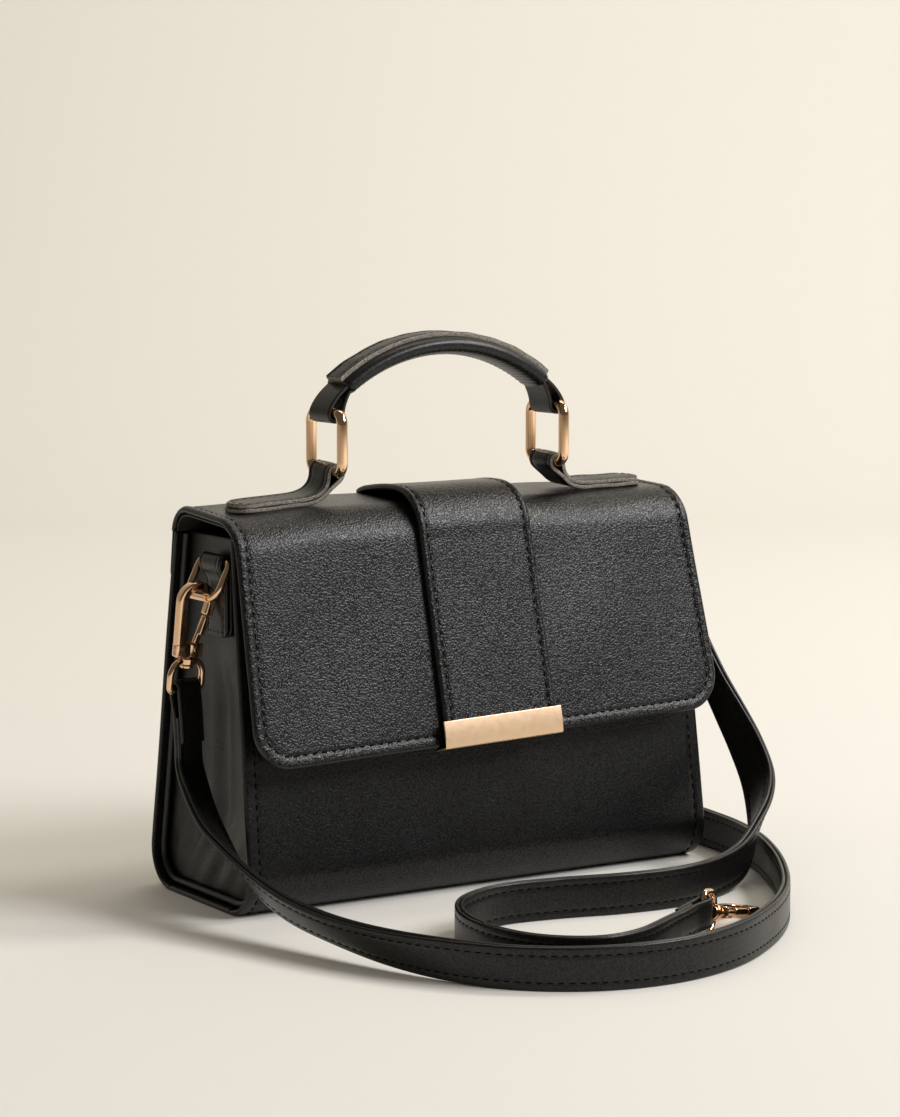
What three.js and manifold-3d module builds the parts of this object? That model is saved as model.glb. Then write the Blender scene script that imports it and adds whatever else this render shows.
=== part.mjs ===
// Small structured crossbody bag with a flap, a top handle on two rings and a clip-on shoulder strap.
// Millimetres, +Z up. The origin is the middle of the base on the ground, +X runs along the bag's width
// to the right as seen from the front, and +Y runs to the back.
import * as THREE from 'three';
import { mergeVertices } from 'three/addons/utils/BufferGeometryUtils.js';
import Module from 'manifold-3d';

// Fits
const CLEAR = 0.3; // between two pieces that lie against each other
const PIN_PLAY = 0.25; // radial play of a pin in its hole

// Body: a wrap of front, base and back panels, with a gusset let in at each end
const BODY_WIDTH = 220;
const BODY_HEIGHT = 146;
const BASE_DEPTH = 88; // where the leaning panels would meet the ground
const PANEL_LEAN = 0.132; // run per rise of the front and back panels
const SIDE_TAPER = 0.022; // share of the half width lost per half width of height
const BASE_RADIUS = 16;
const PANEL_THICKNESS = 2.2;
const BOARD_THICKNESS = 1.2;
const BOARD_TOP_DROP = 6;
const LINING_THICKNESS = 0.8;
const LINING_TOP_DROP = 2;
const GUSSET_RECESS = 6; // from the wrap's edge to the gusset's outer face
const GUSSET_THICKNESS = 1.6;
const GUSSET_TOP_DROP = 8;
const PIPING_RADIUS = 1.4;
const POCKET_HALF_WIDTH = 62;
const POCKET_BOTTOM = 48;
const POCKET_TOP = 118;

// Flap: one stiff sheet from the back panel over the top and down the front
const FLAP_RISE = 11; // of its top above the body's
const FLAP_BOTTOM = 63.3;
const FLAP_FLARE = 7; // of its lower edge, in front of the base's front
const FLAP_LEAN = 0.2533;
const FLAP_THICKNESS = 2.4;
const FLAP_LINING_THICKNESS = 0.9;
const FLAP_BACK_RADIUS = 11;
const FLAP_FRONT_RADIUS = 17;
const FLAP_OVERHANG = 0.5; // past the body at each lower corner
const FLAP_SIDE_LEAN = 0.033; // run per rise of its side edges
const FLAP_CORNER_RADIUS = 16;
const FLAP_LINING_INSET = 1.2;

// Centre band and its metal end
const BAND_WIDTH = 53;
const BAND_THICKNESS = 2.6;
const BAND_ARCH = 5; // middle of the band above the flap's top, where it bows up
const BAND_BACK_END = 13;
const PLATE_WIDTH = 56;
const PLATE_HEIGHT = 9.6;
const PLATE_BACK_HEIGHT = 6;
const PLATE_THICKNESS = 1;

// Magnetic snap between the flap and the front panel
const SNAP_RISE = 20.7; // above the flap's lower edge
const SNAP_RADIUS = 9;
const SOCKET_DEPTH = 4.2;
const SOCKET_WALL = 0.8;
const MAGNET_BORE = 4;
const STUD_PLAY = 0.4; // between the stud's boss and the socket's rim
const STUD_BOSS_RADIUS = 3.2;
const STUD_BOSS_HEIGHT = 1.2;
const WASHER_RADIUS = 7.5;
const WASHER_THICKNESS = 0.7;

// Handle: two rings on anchor tabs, a strap through them and a padded grip
const HANDLE_Y = -5;
const RING_X = 53;
const RING_WIDTH = 24.5; // between the middles of its side bars
const RING_HEIGHT = 23.5; // between the middles of its lower and upper bars
const RING_WIRE = 2.2;
const RING_CORNER = 4.2;
const RING_LIFT = 12.2; // middle of the lower bar above the flap's top
const TAB_WIDTH = 15.6;
const TAB_THICKNESS = 1.5;
const TAB_END_INSET = 12.5; // from the flap's lower corners
const TAB_TURN_X = 62; // where the tab leaves the flap's top to climb to its ring
const TAB_TOP_LAYER_SETBACK = 2;
const HANDLE_STRAP_WIDTH = 15.6;
const HANDLE_STRAP_THICKNESS = 1.6;
const GRIP_ARCH_RADIUS = 78;
const GRIP_RISE = 62.5; // middle of the grip at its highest, above the flap's top
const GRIP_HALF_ANGLE = 0.655; // radians of the arch covered by the grip on each side
const GRIP_WIDTH = 19.4;
const GRIP_HEIGHT = 9.4;
const GRIP_PADDING_THICKNESS = 1.3;
const GRIP_TAIL_ANGLE = 0.14; // how far the strap's folded ends reach into the grip

// Rings for the shoulder strap, hung in a folded tab on each gusset
const SIDE_TAB_SETBACK = 15.2; // of its middle, behind the front panel's inside
const SIDE_TAB_WIDTH = 17;
const SIDE_TAB_LENGTH = 30; // below the ring's bar
const D_BAR_DROP = 9; // below the body's top
const D_WIDTH = 24; // between the middles of its side bars
const D_HEIGHT = 15.5; // between the middles of its straight bar and its bow
const D_WIRE = 1.4;
const D_BAR_CORNER = 2.6;
const D_BOW_CORNER = 6;
const D_TILT = 0.454; // radians that the ring hangs out from the gusset

// Swivel snap hooks, measured from the axis of the swivel's neck and up from the hook's base
const HOOK_MIDDLE_U = 2; // from the neck's axis to the middle of the hook's bend
const HOOK_BEND_RADIUS = 6.2;
const HOOK_BEND_V = 21;
const HOOK_BAND = 3.6;
const HOOK_DEPTH = 4.2;
const HOOK_NOSE_ANGLE = -0.26;
const HOOK_NOSE = 4.2; // straight run of the nose beyond the bend
const HOOK_BASE_TOP = 4.5;
const HOOK_BASE_BOTTOM = -1;
const HOOK_BASE_RIGHT = 5.4;
const GATE_PIVOT_U = 2.8;
const GATE_PIVOT_V = 2;
const GATE_TIP_U = 6.4;
const GATE_TIP_V = 13.8;
const GATE_BAND = 2.6;
const GATE_DEPTH = 1.9;
const GATE_SIDE_PLAY = 0.25;
const PIN_RADIUS = 0.8;
const PIN_HEAD = 0.3; // how far the pin stands out of the hook on each side
const NECK_RADIUS = 1.8;
const NECK_HEAD_RADIUS = 2.8;
const NECK_HEAD_HEIGHT = 1.2;
const COLLAR_RADIUS = 3.4;
const COLLAR_HEIGHT = 2.6;
const EYE_WIDTH = 16; // between the middles of its side bars
const EYE_HEIGHT = 12; // between the middles of its lower bar and its top
const EYE_WIRE = 1.3;
const EYE_BAR_CORNER = 2.2;
const EYE_TOP_CORNER = 6;
const RING_IN_HOOK_U = 3.7; // where the side ring's bow lies inside the hook
const RING_IN_HOOK_V = 22.5;

// Shoulder strap
const STRAP_WIDTH = 16;
const STRAP_THICKNESS = 3.6;
const STRAP_END_WIDTH = 11.6;
const STRAP_END_LAYER = 1.6;
const STRAP_END_LENGTH = 20; // of the fold, beyond the eye's bar
const STRAP_FOLD_SLACK = 1.6; // room along the fold for the eye's bar to lean in it
const STRAP_RING_PLAY = 0.9; // between the strap and the bow of the side ring it runs through
const STRAP_RING_LEG = 12; // how far it hangs straight below that bow on the inner side
const STRAP_LEAD = 8; // straight run where the strap leaves a fold
const STRAP_NARROWS = 30; // run over which it narrows to the width of a fold
const STRAP_STEPS_PER_POINT = 2;
const LYING = STRAP_WIDTH / 2 + 0.1; // middle of the strap when it stands on its edge

// The hooks' own directions: from the strap's end to the hook's nose, and along the eye's lower bar
const LEFT_HOOK_ALONG = new THREE.Vector3(0.03, -0.12, 0.99);
const LEFT_EYE_BAR = new THREE.Vector3(0.97, 0.22, 0);
const LEFT_FOLD_LEAN = 0.2; // radians that the strap's fold leans forward on the eye's bar
const LEFT_HOOK_TURN = -0.22; // radians that the hook has swivelled on its eye
const FREE_STRAP_ALONG = new THREE.Vector3(0.84, 0.54, 0);
const FREE_EYE_BAR = new THREE.Vector3(0, 0, -1);
const FREE_HOOK_DROOP = 0.175; // radians that the free hook leans to the ground
const FREE_HOOK_TURN = -Math.PI / 2;
const FREE_EYE_AT = new THREE.Vector3(22.5, -155.5, 9.8); // middle of the free eye's lower bar

// Routes of the strap's middle line: [x, y, z, and the direction of the edge that is uppermost on the
// ground]. From the left hook it hangs to the ground, stands on its edge in front of the bag and climbs to
// the right side ring; beyond the ring it comes down again and lies in a second loop up to its free end.
const ROUTE_TO_RING = [
  [-117.8, -16, 46, -0.8, -0.58, 0.12],
  [-118.9, -30, 35.5, -0.75, -0.55, 0.2],
  [-119.5, -46, 27.5, -0.62, -0.4, 0.6],
  [-119.3, -65, 20.8, -0.55, -0.25, 0.75],
  [-117.6, -84, 15.8, -0.55, -0.2, 0.8],
  [-113.6, -106, 12.4, -0.6, -0.15, 0.78],
  [-106.5, -132, 9.9, -0.48, -0.1, 0.87],
  [-95, -159, 8.7, -0.25, 0, 0.97],
  [-77, -183, LYING, -0.08, 0, 1],
  [-52, -198.5, LYING, 0, 0, 1],
  [-23, -203, LYING, 0, 0, 1],
  [7, -196, LYING, 0, 0, 1],
  [38, -177, LYING, 0, 0, 1],
  [63, -154, LYING, 0, 0, 1],
  [85, -125, LYING, 0, 0, 1],
  [102, -97, LYING, 0, 0, 1],
  [114, -72, LYING, 0, 0, 1],
  [122, -46, LYING, 0, 0, 1],
  [126, -20, LYING, 0, 0, 1],
  [126, 2, 9.2, 0, -0.1, 1],
  [122, 16, 21, 0, -0.6, 0.8],
  [116.5, 14, 48, 0, -1, 0.2],
  [112, 4, 74, 0, -1, 0],
  [109.3, -5, 95, 0, -1, 0],
];
const ROUTE_FROM_RING = [
  [118.2, -11.5, 106, 0, -1, -0.1],
  [120.2, -19, 91, 0, -1, -0.2],
  [122.2, -28, 76, 0.05, -1, -0.1],
  [124.2, -38.5, 61.5, 0.15, -1, 0.05],
  [124.4, -50, 48.4, 0.3, -0.95, 0.25],
  [121.4, -62, 36.8, 0.4, -0.75, 0.55],
  [113.6, -73.6, 27.4, 0.3, -0.45, 0.85],
  [102.3, -84.2, 18.6, 0.12, -0.2, 1],
  [88.5, -93.6, 11.4, 0, -0.1, 1],
  [70, -101.8, 8.4, 0, 0, 1],
  [48, -107.3, LYING, 0, 0, 1],
  [22, -105.5, LYING, 0, 0, 1],
  [-6, -98.5, LYING, 0, 0, 1],
  [-31, -96.5, LYING, 0, 0, 1],
  [-53, -106.5, LYING, 0, 0, 1],
  [-66.5, -127, LYING, 0, 0, 1],
  [-69.5, -151, LYING, 0, 0, 1],
  [-62, -173, LYING, 0, 0, 1],
  [-45, -185.5, LYING, 0, 0, 1],
  [-23.5, -183, LYING, 0, 0, 1],
];

const GROUND = 0;
const ROUND_SIDES = 8;
const DISC_SIDES = 24;

const wasm = await Module();
wasm.setup();

const leather = new THREE.MeshStandardMaterial({ name: 'black_leather', color: '#211f1e', roughness: 0.55 });
const edge = new THREE.MeshStandardMaterial({ name: 'edge_paint', color: '#171615', roughness: 0.5 });
const gold = new THREE.MeshStandardMaterial({
  name: 'light_gold', color: '#e6c091', roughness: 0.18, metalness: 1,
});
const satinGold = new THREE.MeshStandardMaterial({
  name: 'satin_gold', color: '#dfbd94', roughness: 0.34, metalness: 1,
});
const steel = new THREE.MeshStandardMaterial({
  name: 'plated_steel', color: '#b9b6b0', roughness: 0.35, metalness: 1,
});
const magnetGrey = new THREE.MeshStandardMaterial({
  name: 'magnet', color: '#5a5a5c', roughness: 0.5, metalness: 0.8,
});
const fabric = new THREE.MeshStandardMaterial({ name: 'lining_fabric', color: '#2a2724', roughness: 0.9 });
const board = new THREE.MeshStandardMaterial({ name: 'fibre_board', color: '#8a7658', roughness: 0.9 });
const foam = new THREE.MeshStandardMaterial({ name: 'foam', color: '#d8d2c4', roughness: 0.95 });

const bag = new THREE.Group();
bag.name = 'crossbody_bag';

/** Adds a named sub-part to the bag. */
function addPart(name, geometry, material) {
  const mesh = new THREE.Mesh(geometry, material);
  mesh.name = name;
  bag.add(mesh);
}

/** Volume enclosed by an indexed geometry, negative where its faces point inwards. */
function signedVolume(geometry) {
  const position = geometry.getAttribute('position');
  const index = geometry.getIndex();
  const a = new THREE.Vector3();
  const b = new THREE.Vector3();
  const c = new THREE.Vector3();
  let volume = 0;
  for (let i = 0; i < index.count; i += 3) {
    a.fromBufferAttribute(position, index.getX(i));
    b.fromBufferAttribute(position, index.getX(i + 1));
    c.fromBufferAttribute(position, index.getX(i + 2));
    volume += a.dot(b.cross(c)) / 6;
  }
  return volume;
}

/** A closed indexed geometry from points and triangles, turned so that its faces point out. */
function closedGeometry(points, triangles) {
  const geometry = new THREE.BufferGeometry();
  const flat = points.flatMap((p) => [p.x, p.y, p.z]);
  geometry.setAttribute('position', new THREE.Float32BufferAttribute(flat, 3));
  geometry.setIndex(triangles);
  if (signedVolume(geometry) < 0) {
    triangles.reverse();
    geometry.setIndex(triangles);
  }
  return geometry;
}

/** Position-only copy of a geometry with shared vertices merged. */
function welded(geometry) {
  const plain = geometry.clone();
  plain.deleteAttribute('normal');
  plain.deleteAttribute('uv');
  return mergeVertices(plain, 1e-4);
}

/** A closed geometry as a solid for joining and cutting. */
function toSolid(geometry) {
  const merged = welded(geometry);
  return new wasm.Manifold(new wasm.Mesh({
    numProp: 3,
    vertProperties: new Float32Array(merged.getAttribute('position').array),
    triVerts: new Uint32Array(merged.getIndex().array),
  }));
}

/** A cut or joined solid back as a geometry. */
function toGeometry(solid) {
  const mesh = solid.getMesh();
  const geometry = new THREE.BufferGeometry();
  geometry.setAttribute('position', new THREE.Float32BufferAttribute(mesh.vertProperties, 3));
  geometry.setIndex(new THREE.Uint32BufferAttribute(mesh.triVerts, 1));
  return geometry;
}

function subtract(geometry, ...cutters) {
  return toGeometry(cutters.reduce((solid, cutter) => solid.subtract(toSolid(cutter)), toSolid(geometry)));
}

function join(geometry, ...others) {
  return toGeometry(others.reduce((solid, other) => solid.add(toSolid(other)), toSolid(geometry)));
}

function intersect(geometry, other) {
  return toGeometry(toSolid(geometry).intersect(toSolid(other)));
}

/** Extrudes an outline by length, centred on its plane, before it is turned into place. */
function extruded(outline, length) {
  const shape = new THREE.Shape(outline);
  const geometry = new THREE.ExtrudeGeometry(shape, { depth: length, bevelEnabled: false });
  geometry.translate(0, 0, -length / 2);
  return welded(geometry);
}

/** An outline of (y, z) points extruded along X, with its middle at x. */
function prismX(outline, length, x = 0) {
  const cycle = new THREE.Matrix4().makeBasis(
    new THREE.Vector3(0, 1, 0), new THREE.Vector3(0, 0, 1), new THREE.Vector3(1, 0, 0),
  );
  return extruded(outline, length).applyMatrix4(cycle).translate(x, 0, 0);
}

/** An outline of (x, z) points extruded along Y, with its middle at y. */
function prismY(outline, length, y = 0) {
  return extruded(outline, length).rotateX(Math.PI / 2).translate(0, y, 0);
}

const point = (x, y) => new THREE.Vector2(x, y);

/** Points on an arc, from one angle to another. */
function arc(centre, radius, from, to, steps) {
  return Array.from({ length: steps + 1 }, (_, i) => {
    const angle = from + ((to - from) * i) / steps;
    return point(centre.x + radius * Math.cos(angle), centre.y + radius * Math.sin(angle));
  });
}

/** Points on a quadratic curve, without its ends. */
function bend(start, control, end, steps) {
  const curve = new THREE.QuadraticBezierCurve(start, control, end);
  return curve.getPoints(steps).slice(1, -1);
}

/** The path moved sideways by a distance, to the left of its direction. */
function offsetPath(path, distance) {
  return path.map((p, i) => {
    const before = path[Math.max(i - 1, 0)];
    const after = path[Math.min(i + 1, path.length - 1)];
    const first = (i > 0 ? p.clone().sub(before) : after.clone().sub(p)).normalize();
    const second = (i < path.length - 1 ? after.clone().sub(p) : p.clone().sub(before)).normalize();
    const normal = point(-first.y - second.y, first.x + second.x).normalize();
    const stretch = 1 / Math.max(0.5, normal.dot(point(-first.y, first.x)));
    return p.clone().addScaledVector(normal, distance * stretch);
  });
}

/** Outline of a sheet of even thickness that follows a path. */
function sheetOutline(path, thickness) {
  return [...offsetPath(path, -thickness / 2), ...offsetPath(path, thickness / 2).reverse()];
}

/** A solid through a row of sections with as many points each, closed on itself or capped at its ends. */
function loft(sections, loops = false) {
  const sides = sections[0].length;
  const rows = sections.length;
  const triangles = [];
  const spans = loops ? rows : rows - 1;
  for (let row = 0; row < spans; row += 1) {
    const here = row * sides;
    const next = ((row + 1) % rows) * sides;
    for (let i = 0; i < sides; i += 1) {
      const j = (i + 1) % sides;
      triangles.push(here + i, here + j, next + j, here + i, next + j, next + i);
    }
  }
  if (!loops) {
    const last = (rows - 1) * sides;
    for (let i = 1; i < sides - 1; i += 1) {
      triangles.push(0, i + 1, i, last, last + i, last + i + 1);
    }
  }
  return closedGeometry(sections.flat(), triangles);
}

/** A round bar bent along a closed loop of points in the plane of two axes. */
function wireLoop(loop, radius, sides) {
  const count = loop.length;
  return loft(loop.map((p, i) => {
    const along = loop[(i + 1) % count].clone().sub(loop[(i + count - 1) % count]).normalize();
    const across = new THREE.Vector3(0, -1, 0).cross(along);
    return Array.from({ length: sides }, (_, k) => {
      const angle = (k * 2 * Math.PI) / sides;
      return p.clone()
        .addScaledVector(across, radius * Math.cos(angle))
        .addScaledVector(new THREE.Vector3(0, 1, 0), radius * Math.sin(angle));
    });
  }), true);
}

/** Loop of points in the XZ plane: a rectangle with its own corner radius at the bottom and the top. */
function roundedLoop(width, bottom, top, bottomRadius, topRadius, steps) {
  const corners = [
    [point(width / 2 - bottomRadius, bottom + bottomRadius), bottomRadius, -Math.PI / 2],
    [point(width / 2 - topRadius, top - topRadius), topRadius, 0],
    [point(-width / 2 + topRadius, top - topRadius), topRadius, Math.PI / 2],
    [point(-width / 2 + bottomRadius, bottom + bottomRadius), bottomRadius, Math.PI],
  ];
  return corners
    .flatMap(([centre, radius, from]) => arc(centre, radius, from, from + Math.PI / 2, steps))
    .map((p) => new THREE.Vector3(p.x, 0, p.y));
}

/** A short round bar along Z between two heights, with its middle at x, y. */
function roundBar(radius, low, high, x = 0, y = 0, sides = DISC_SIDES) {
  const bar = new THREE.CylinderGeometry(radius, radius, high - low, sides);
  return welded(bar.rotateX(Math.PI / 2).translate(x, y, (low + high) / 2));
}

/** A turned piece from (radius, height) points that start and end on the axis, standing along Z. */
function turned(profile) {
  return welded(new THREE.LatheGeometry(profile, DISC_SIDES).rotateX(Math.PI / 2));
}

/** Seats a piece that stands along Z on a point, facing along a direction. */
function seated(geometry, at, facing) {
  const turn = new THREE.Quaternion().setFromUnitVectors(new THREE.Vector3(0, 0, 1), facing);
  return geometry.applyQuaternion(turn).translate(at.x, at.y, at.z);
}

// Body

const leanStretch = Math.hypot(1, PANEL_LEAN);
const leanAngle = Math.atan(PANEL_LEAN);

/** Half depth of the body at a height, measured to a surface that lies a distance inside its skin. */
function halfDepth(z, inside = 0) {
  return BASE_DEPTH / 2 - PANEL_LEAN * z - inside * leanStretch;
}

/** How much the body's width has drawn in at a height. */
function taperAt(z) {
  return 1 - (SIDE_TAPER * z) / (BODY_WIDTH / 2);
}

/** Draws a body piece in towards its top, as the bag's sides lean. */
function tapered(geometry) {
  const position = geometry.getAttribute('position');
  for (let i = 0; i < position.count; i += 1) {
    position.setX(i, position.getX(i) * taperAt(position.getZ(i)));
  }
  return geometry;
}

const cornerY = halfDepth(BASE_RADIUS, BASE_RADIUS);

/** Front half of the body's outline at a distance inside its skin, from the top edge to the base. */
function frontPath(inside, top) {
  const centre = point(-cornerY, BASE_RADIUS);
  const turn = arc(centre, BASE_RADIUS - inside, Math.PI - leanAngle, 1.5 * Math.PI, ROUND_SIDES);
  return [point(-halfDepth(top, inside), top), ...turn];
}

/** The whole outline at a distance inside the skin, from the front's top edge to the back's. */
function bodyPath(inside, top) {
  const front = frontPath(inside, top);
  const back = front.map((p) => point(-p.x, p.y)).reverse();
  return [...front, ...back];
}

const boardInside = PANEL_THICKNESS + CLEAR;
const liningInside = boardInside + BOARD_THICKNESS + CLEAR;
const gussetFace = BODY_WIDTH / 2 - GUSSET_RECESS;
const gussetTop = BODY_HEIGHT - GUSSET_TOP_DROP;
const insideHalfWidth = gussetFace - GUSSET_THICKNESS - CLEAR;

/** Direction that the front panel faces. */
const frontFacing = new THREE.Vector3(0, -Math.cos(leanAngle), Math.sin(leanAngle));

/** A point on the front panel's skin, or a distance in front of it. */
function onFront(x, z, proud = 0) {
  return new THREE.Vector3(x, -halfDepth(z), z).addScaledVector(frontFacing, proud);
}

function buildPanels() {
  const outer = frontPath(0, BODY_HEIGHT);
  const inner = frontPath(PANEL_THICKNESS, BODY_HEIGHT);
  const front = [...outer, ...inner.reverse()];
  const back = front.map((p) => point(-p.x, p.y)).reverse();
  const baseHalf = cornerY - CLEAR;
  const base = [
    point(-baseHalf, 0), point(baseHalf, 0), point(baseHalf, PANEL_THICKNESS), point(-baseHalf, PANEL_THICKNESS),
  ];
  addPart('front_panel', tapered(prismX(front, BODY_WIDTH)), leather);
  addPart('back_panel', tapered(prismX(back, BODY_WIDTH)), leather);
  addPart('base_panel', tapered(prismX(base, BODY_WIDTH)), leather);
}

function buildBoards() {
  const top = BODY_HEIGHT - BOARD_TOP_DROP;
  const boardBack = boardInside + BOARD_THICKNESS;
  const front = [
    point(-halfDepth(top, boardInside), top), point(-halfDepth(BASE_RADIUS, boardInside), BASE_RADIUS),
    point(-halfDepth(BASE_RADIUS, boardBack), BASE_RADIUS), point(-halfDepth(top, boardBack), top),
  ];
  const back = front.map((p) => point(-p.x, p.y)).reverse();
  const baseHalf = cornerY - CLEAR;
  const base = [
    point(-baseHalf, boardInside), point(baseHalf, boardInside),
    point(baseHalf, boardBack), point(-baseHalf, boardBack),
  ];
  const length = 2 * insideHalfWidth;
  const washerRoom = seated(
    roundBar(WASHER_RADIUS + CLEAR, -BOARD_THICKNESS, BOARD_THICKNESS),
    onFront(0, snapHeight, -boardInside - BOARD_THICKNESS / 2), frontFacing,
  );
  addPart('front_board', subtract(tapered(prismX(front, length)), washerRoom), board);
  addPart('back_board', tapered(prismX(back, length)), board);
  addPart('base_board', tapered(prismX(base, length)), board);
}

function buildLining() {
  const top = BODY_HEIGHT - LINING_TOP_DROP;
  const outer = prismX(bodyPath(liningInside, top), 2 * insideHalfWidth);
  const hollowTop = BODY_HEIGHT + LINING_TOP_DROP;
  const inside = liningInside + LINING_THICKNESS;
  const hollow = prismX(bodyPath(inside, hollowTop), 2 * (insideHalfWidth - LINING_THICKNESS));
  addPart('lining', tapered(subtract(outer, hollow)), fabric);
  const pocketNear = inside + CLEAR;
  const pocketFar = pocketNear + LINING_THICKNESS;
  const pocket = [
    point(halfDepth(POCKET_BOTTOM, pocketFar), POCKET_BOTTOM), point(halfDepth(POCKET_BOTTOM, pocketNear), POCKET_BOTTOM),
    point(halfDepth(POCKET_TOP, pocketNear), POCKET_TOP), point(halfDepth(POCKET_TOP, pocketFar), POCKET_TOP),
  ];
  addPart('slip_pocket', prismX(pocket, 2 * POCKET_HALF_WIDTH), fabric);
}

function buildGusset(side, name) {
  const outline = bodyPath(boardInside, gussetTop);
  const middle = side * (gussetFace - GUSSET_THICKNESS / 2);
  addPart(`${name}_gusset`, tapered(prismX(outline, GUSSET_THICKNESS, middle)), leather);
  const path = bodyPath(boardInside + PIPING_RADIUS, gussetTop);
  const pipingX = side * (gussetFace + CLEAR + PIPING_RADIUS);
  const sections = path.map((p, i) => {
    const before = path[Math.max(i - 1, 0)];
    const after = path[Math.min(i + 1, path.length - 1)];
    const along = after.clone().sub(before).normalize();
    return Array.from({ length: ROUND_SIDES }, (_, k) => {
      const angle = (k * 2 * Math.PI) / ROUND_SIDES;
      const out = PIPING_RADIUS * Math.cos(angle);
      return new THREE.Vector3(
        pipingX + PIPING_RADIUS * Math.sin(angle), p.x - along.y * out, p.y + along.x * out,
      );
    });
  });
  addPart(`${name}_piping`, tapered(loft(sections)), edge);
}

// Flap

const flapTop = BODY_HEIGHT + FLAP_RISE;
const flapBottomHalfWidth = BODY_WIDTH / 2 + FLAP_OVERHANG;
const flapFrontMost = BASE_DEPTH / 2 + FLAP_FLARE;
const snapHeight = FLAP_BOTTOM + SNAP_RISE;
const flapLeanStretch = Math.hypot(1, FLAP_LEAN);
const flapLeanAngle = Math.atan(FLAP_LEAN);
const flapStart = BODY_HEIGHT + CLEAR;
const flapLiningOutside = FLAP_THICKNESS + CLEAR;
const flapInside = flapLiningOutside + FLAP_LINING_THICKNESS;

/** The flap's front face is this far in front of the middle at a height. */
function flapFront(z) {
  return flapFrontMost - FLAP_LEAN * (z - FLAP_BOTTOM);
}

const backBend = point(halfDepth(flapTop - FLAP_BACK_RADIUS, FLAP_BACK_RADIUS), flapTop - FLAP_BACK_RADIUS);
const frontBendZ = flapTop - FLAP_FRONT_RADIUS;
const frontBend = point(-flapFront(frontBendZ) + FLAP_FRONT_RADIUS * flapLeanStretch, frontBendZ);
/** Directions in the (y, z) plane: out of the flap's front face, and down along it. */
const flapOut = point(-Math.cos(flapLeanAngle), Math.sin(flapLeanAngle));
const flapDown = point(-Math.sin(flapLeanAngle), -Math.cos(flapLeanAngle));
const flapEdge = point(-flapFrontMost, FLAP_BOTTOM);

/** A point by its distance out of the flap's front face and down past its lower edge. */
function byFlapEdge(out, down) {
  return flapEdge.clone().addScaledVector(flapOut, out).addScaledVector(flapDown, down);
}

/** The flap's section line at a distance inside its skin, from the hinge to a distance above its edge. */
function flapPath(inside, edgeInset) {
  return [
    point(halfDepth(flapStart, inside), flapStart),
    ...arc(backBend, FLAP_BACK_RADIUS - inside, leanAngle, Math.PI / 2, ROUND_SIDES),
    ...arc(frontBend, FLAP_FRONT_RADIUS - inside, Math.PI / 2, Math.PI - flapLeanAngle, ROUND_SIDES),
    byFlapEdge(-inside, -edgeInset),
  ];
}

/** The flap's outline as seen from the front, with its corners rounded. */
function flapOutline(inset) {
  const bottom = FLAP_BOTTOM + inset - FLAP_THICKNESS;
  const top = flapTop + FLAP_BACK_RADIUS;
  const bottomHalf = flapBottomHalfWidth - inset;
  const topHalf = bottomHalf - FLAP_SIDE_LEAN * (top - bottom);
  const radius = FLAP_CORNER_RADIUS - inset;
  const corner = point(bottomHalf - radius, bottom + radius);
  const right = arc(corner, radius, -Math.PI / 2, 0, ROUND_SIDES);
  const left = right.map((p) => point(-p.x, p.y)).reverse();
  return [...right, point(topHalf, top), point(-topHalf, top), ...left];
}

/** A layer of the flap between two distances inside its skin. */
function flapLayer(outside, inside, inset) {
  const outer = flapPath(outside, inset);
  const inner = flapPath(inside, inset);
  const sheet = prismX([...outer, ...inner.reverse()], 2 * flapBottomHalfWidth);
  const depth = 2 * (flapFrontMost + FLAP_FRONT_RADIUS);
  return intersect(sheet, prismY(flapOutline(inset), depth));
}

/** A point on the flap's front, a distance inside its skin. */
function onFlap(x, z, inside) {
  const p = point(-flapFront(z), z).addScaledVector(flapOut, -inside);
  return new THREE.Vector3(x, p.x, p.y);
}

const flapInward = new THREE.Vector3(0, -flapOut.x, -flapOut.y);

function buildFlap() {
  const washerRoom = seated(
    roundBar(WASHER_RADIUS + CLEAR, -WASHER_THICKNESS - CLEAR, CLEAR),
    onFlap(0, snapHeight, FLAP_THICKNESS), flapInward,
  );
  addPart('flap', subtract(flapLayer(0, FLAP_THICKNESS, 0), washerRoom), leather);
  addPart('flap_lining', flapLayer(flapLiningOutside, flapInside, FLAP_LINING_INSET), fabric);
  const washer = roundBar(WASHER_RADIUS, -WASHER_THICKNESS, 0);
  addPart('stud_washer', seated(washer, onFlap(0, snapHeight, FLAP_THICKNESS), flapInward), steel);
}

/** The middle line of the centre band, bowed up off the flap's top and lying on its front. */
function bandPath() {
  const seat = CLEAR + BAND_THICKNESS / 2;
  const lift = (share) => seat + (BAND_ARCH - seat) * Math.sin((Math.PI / 2) * share);
  const topRun = Array.from({ length: ROUND_SIDES }, (_, i) => {
    const share = i / ROUND_SIDES;
    return point(BAND_BACK_END + (frontBend.x - BAND_BACK_END) * share, flapTop + lift(share));
  });
  const turnSteps = 2 * ROUND_SIDES;
  const turn = arc(frontBend, 1, Math.PI / 2, Math.PI - flapLeanAngle, turnSteps).map((p, i) => {
    const out = p.clone().sub(frontBend);
    return frontBend.clone().addScaledVector(out, FLAP_FRONT_RADIUS + lift(1 - i / turnSteps));
  });
  return [...topRun, ...turn, byFlapEdge(seat, 0)];
}

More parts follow.
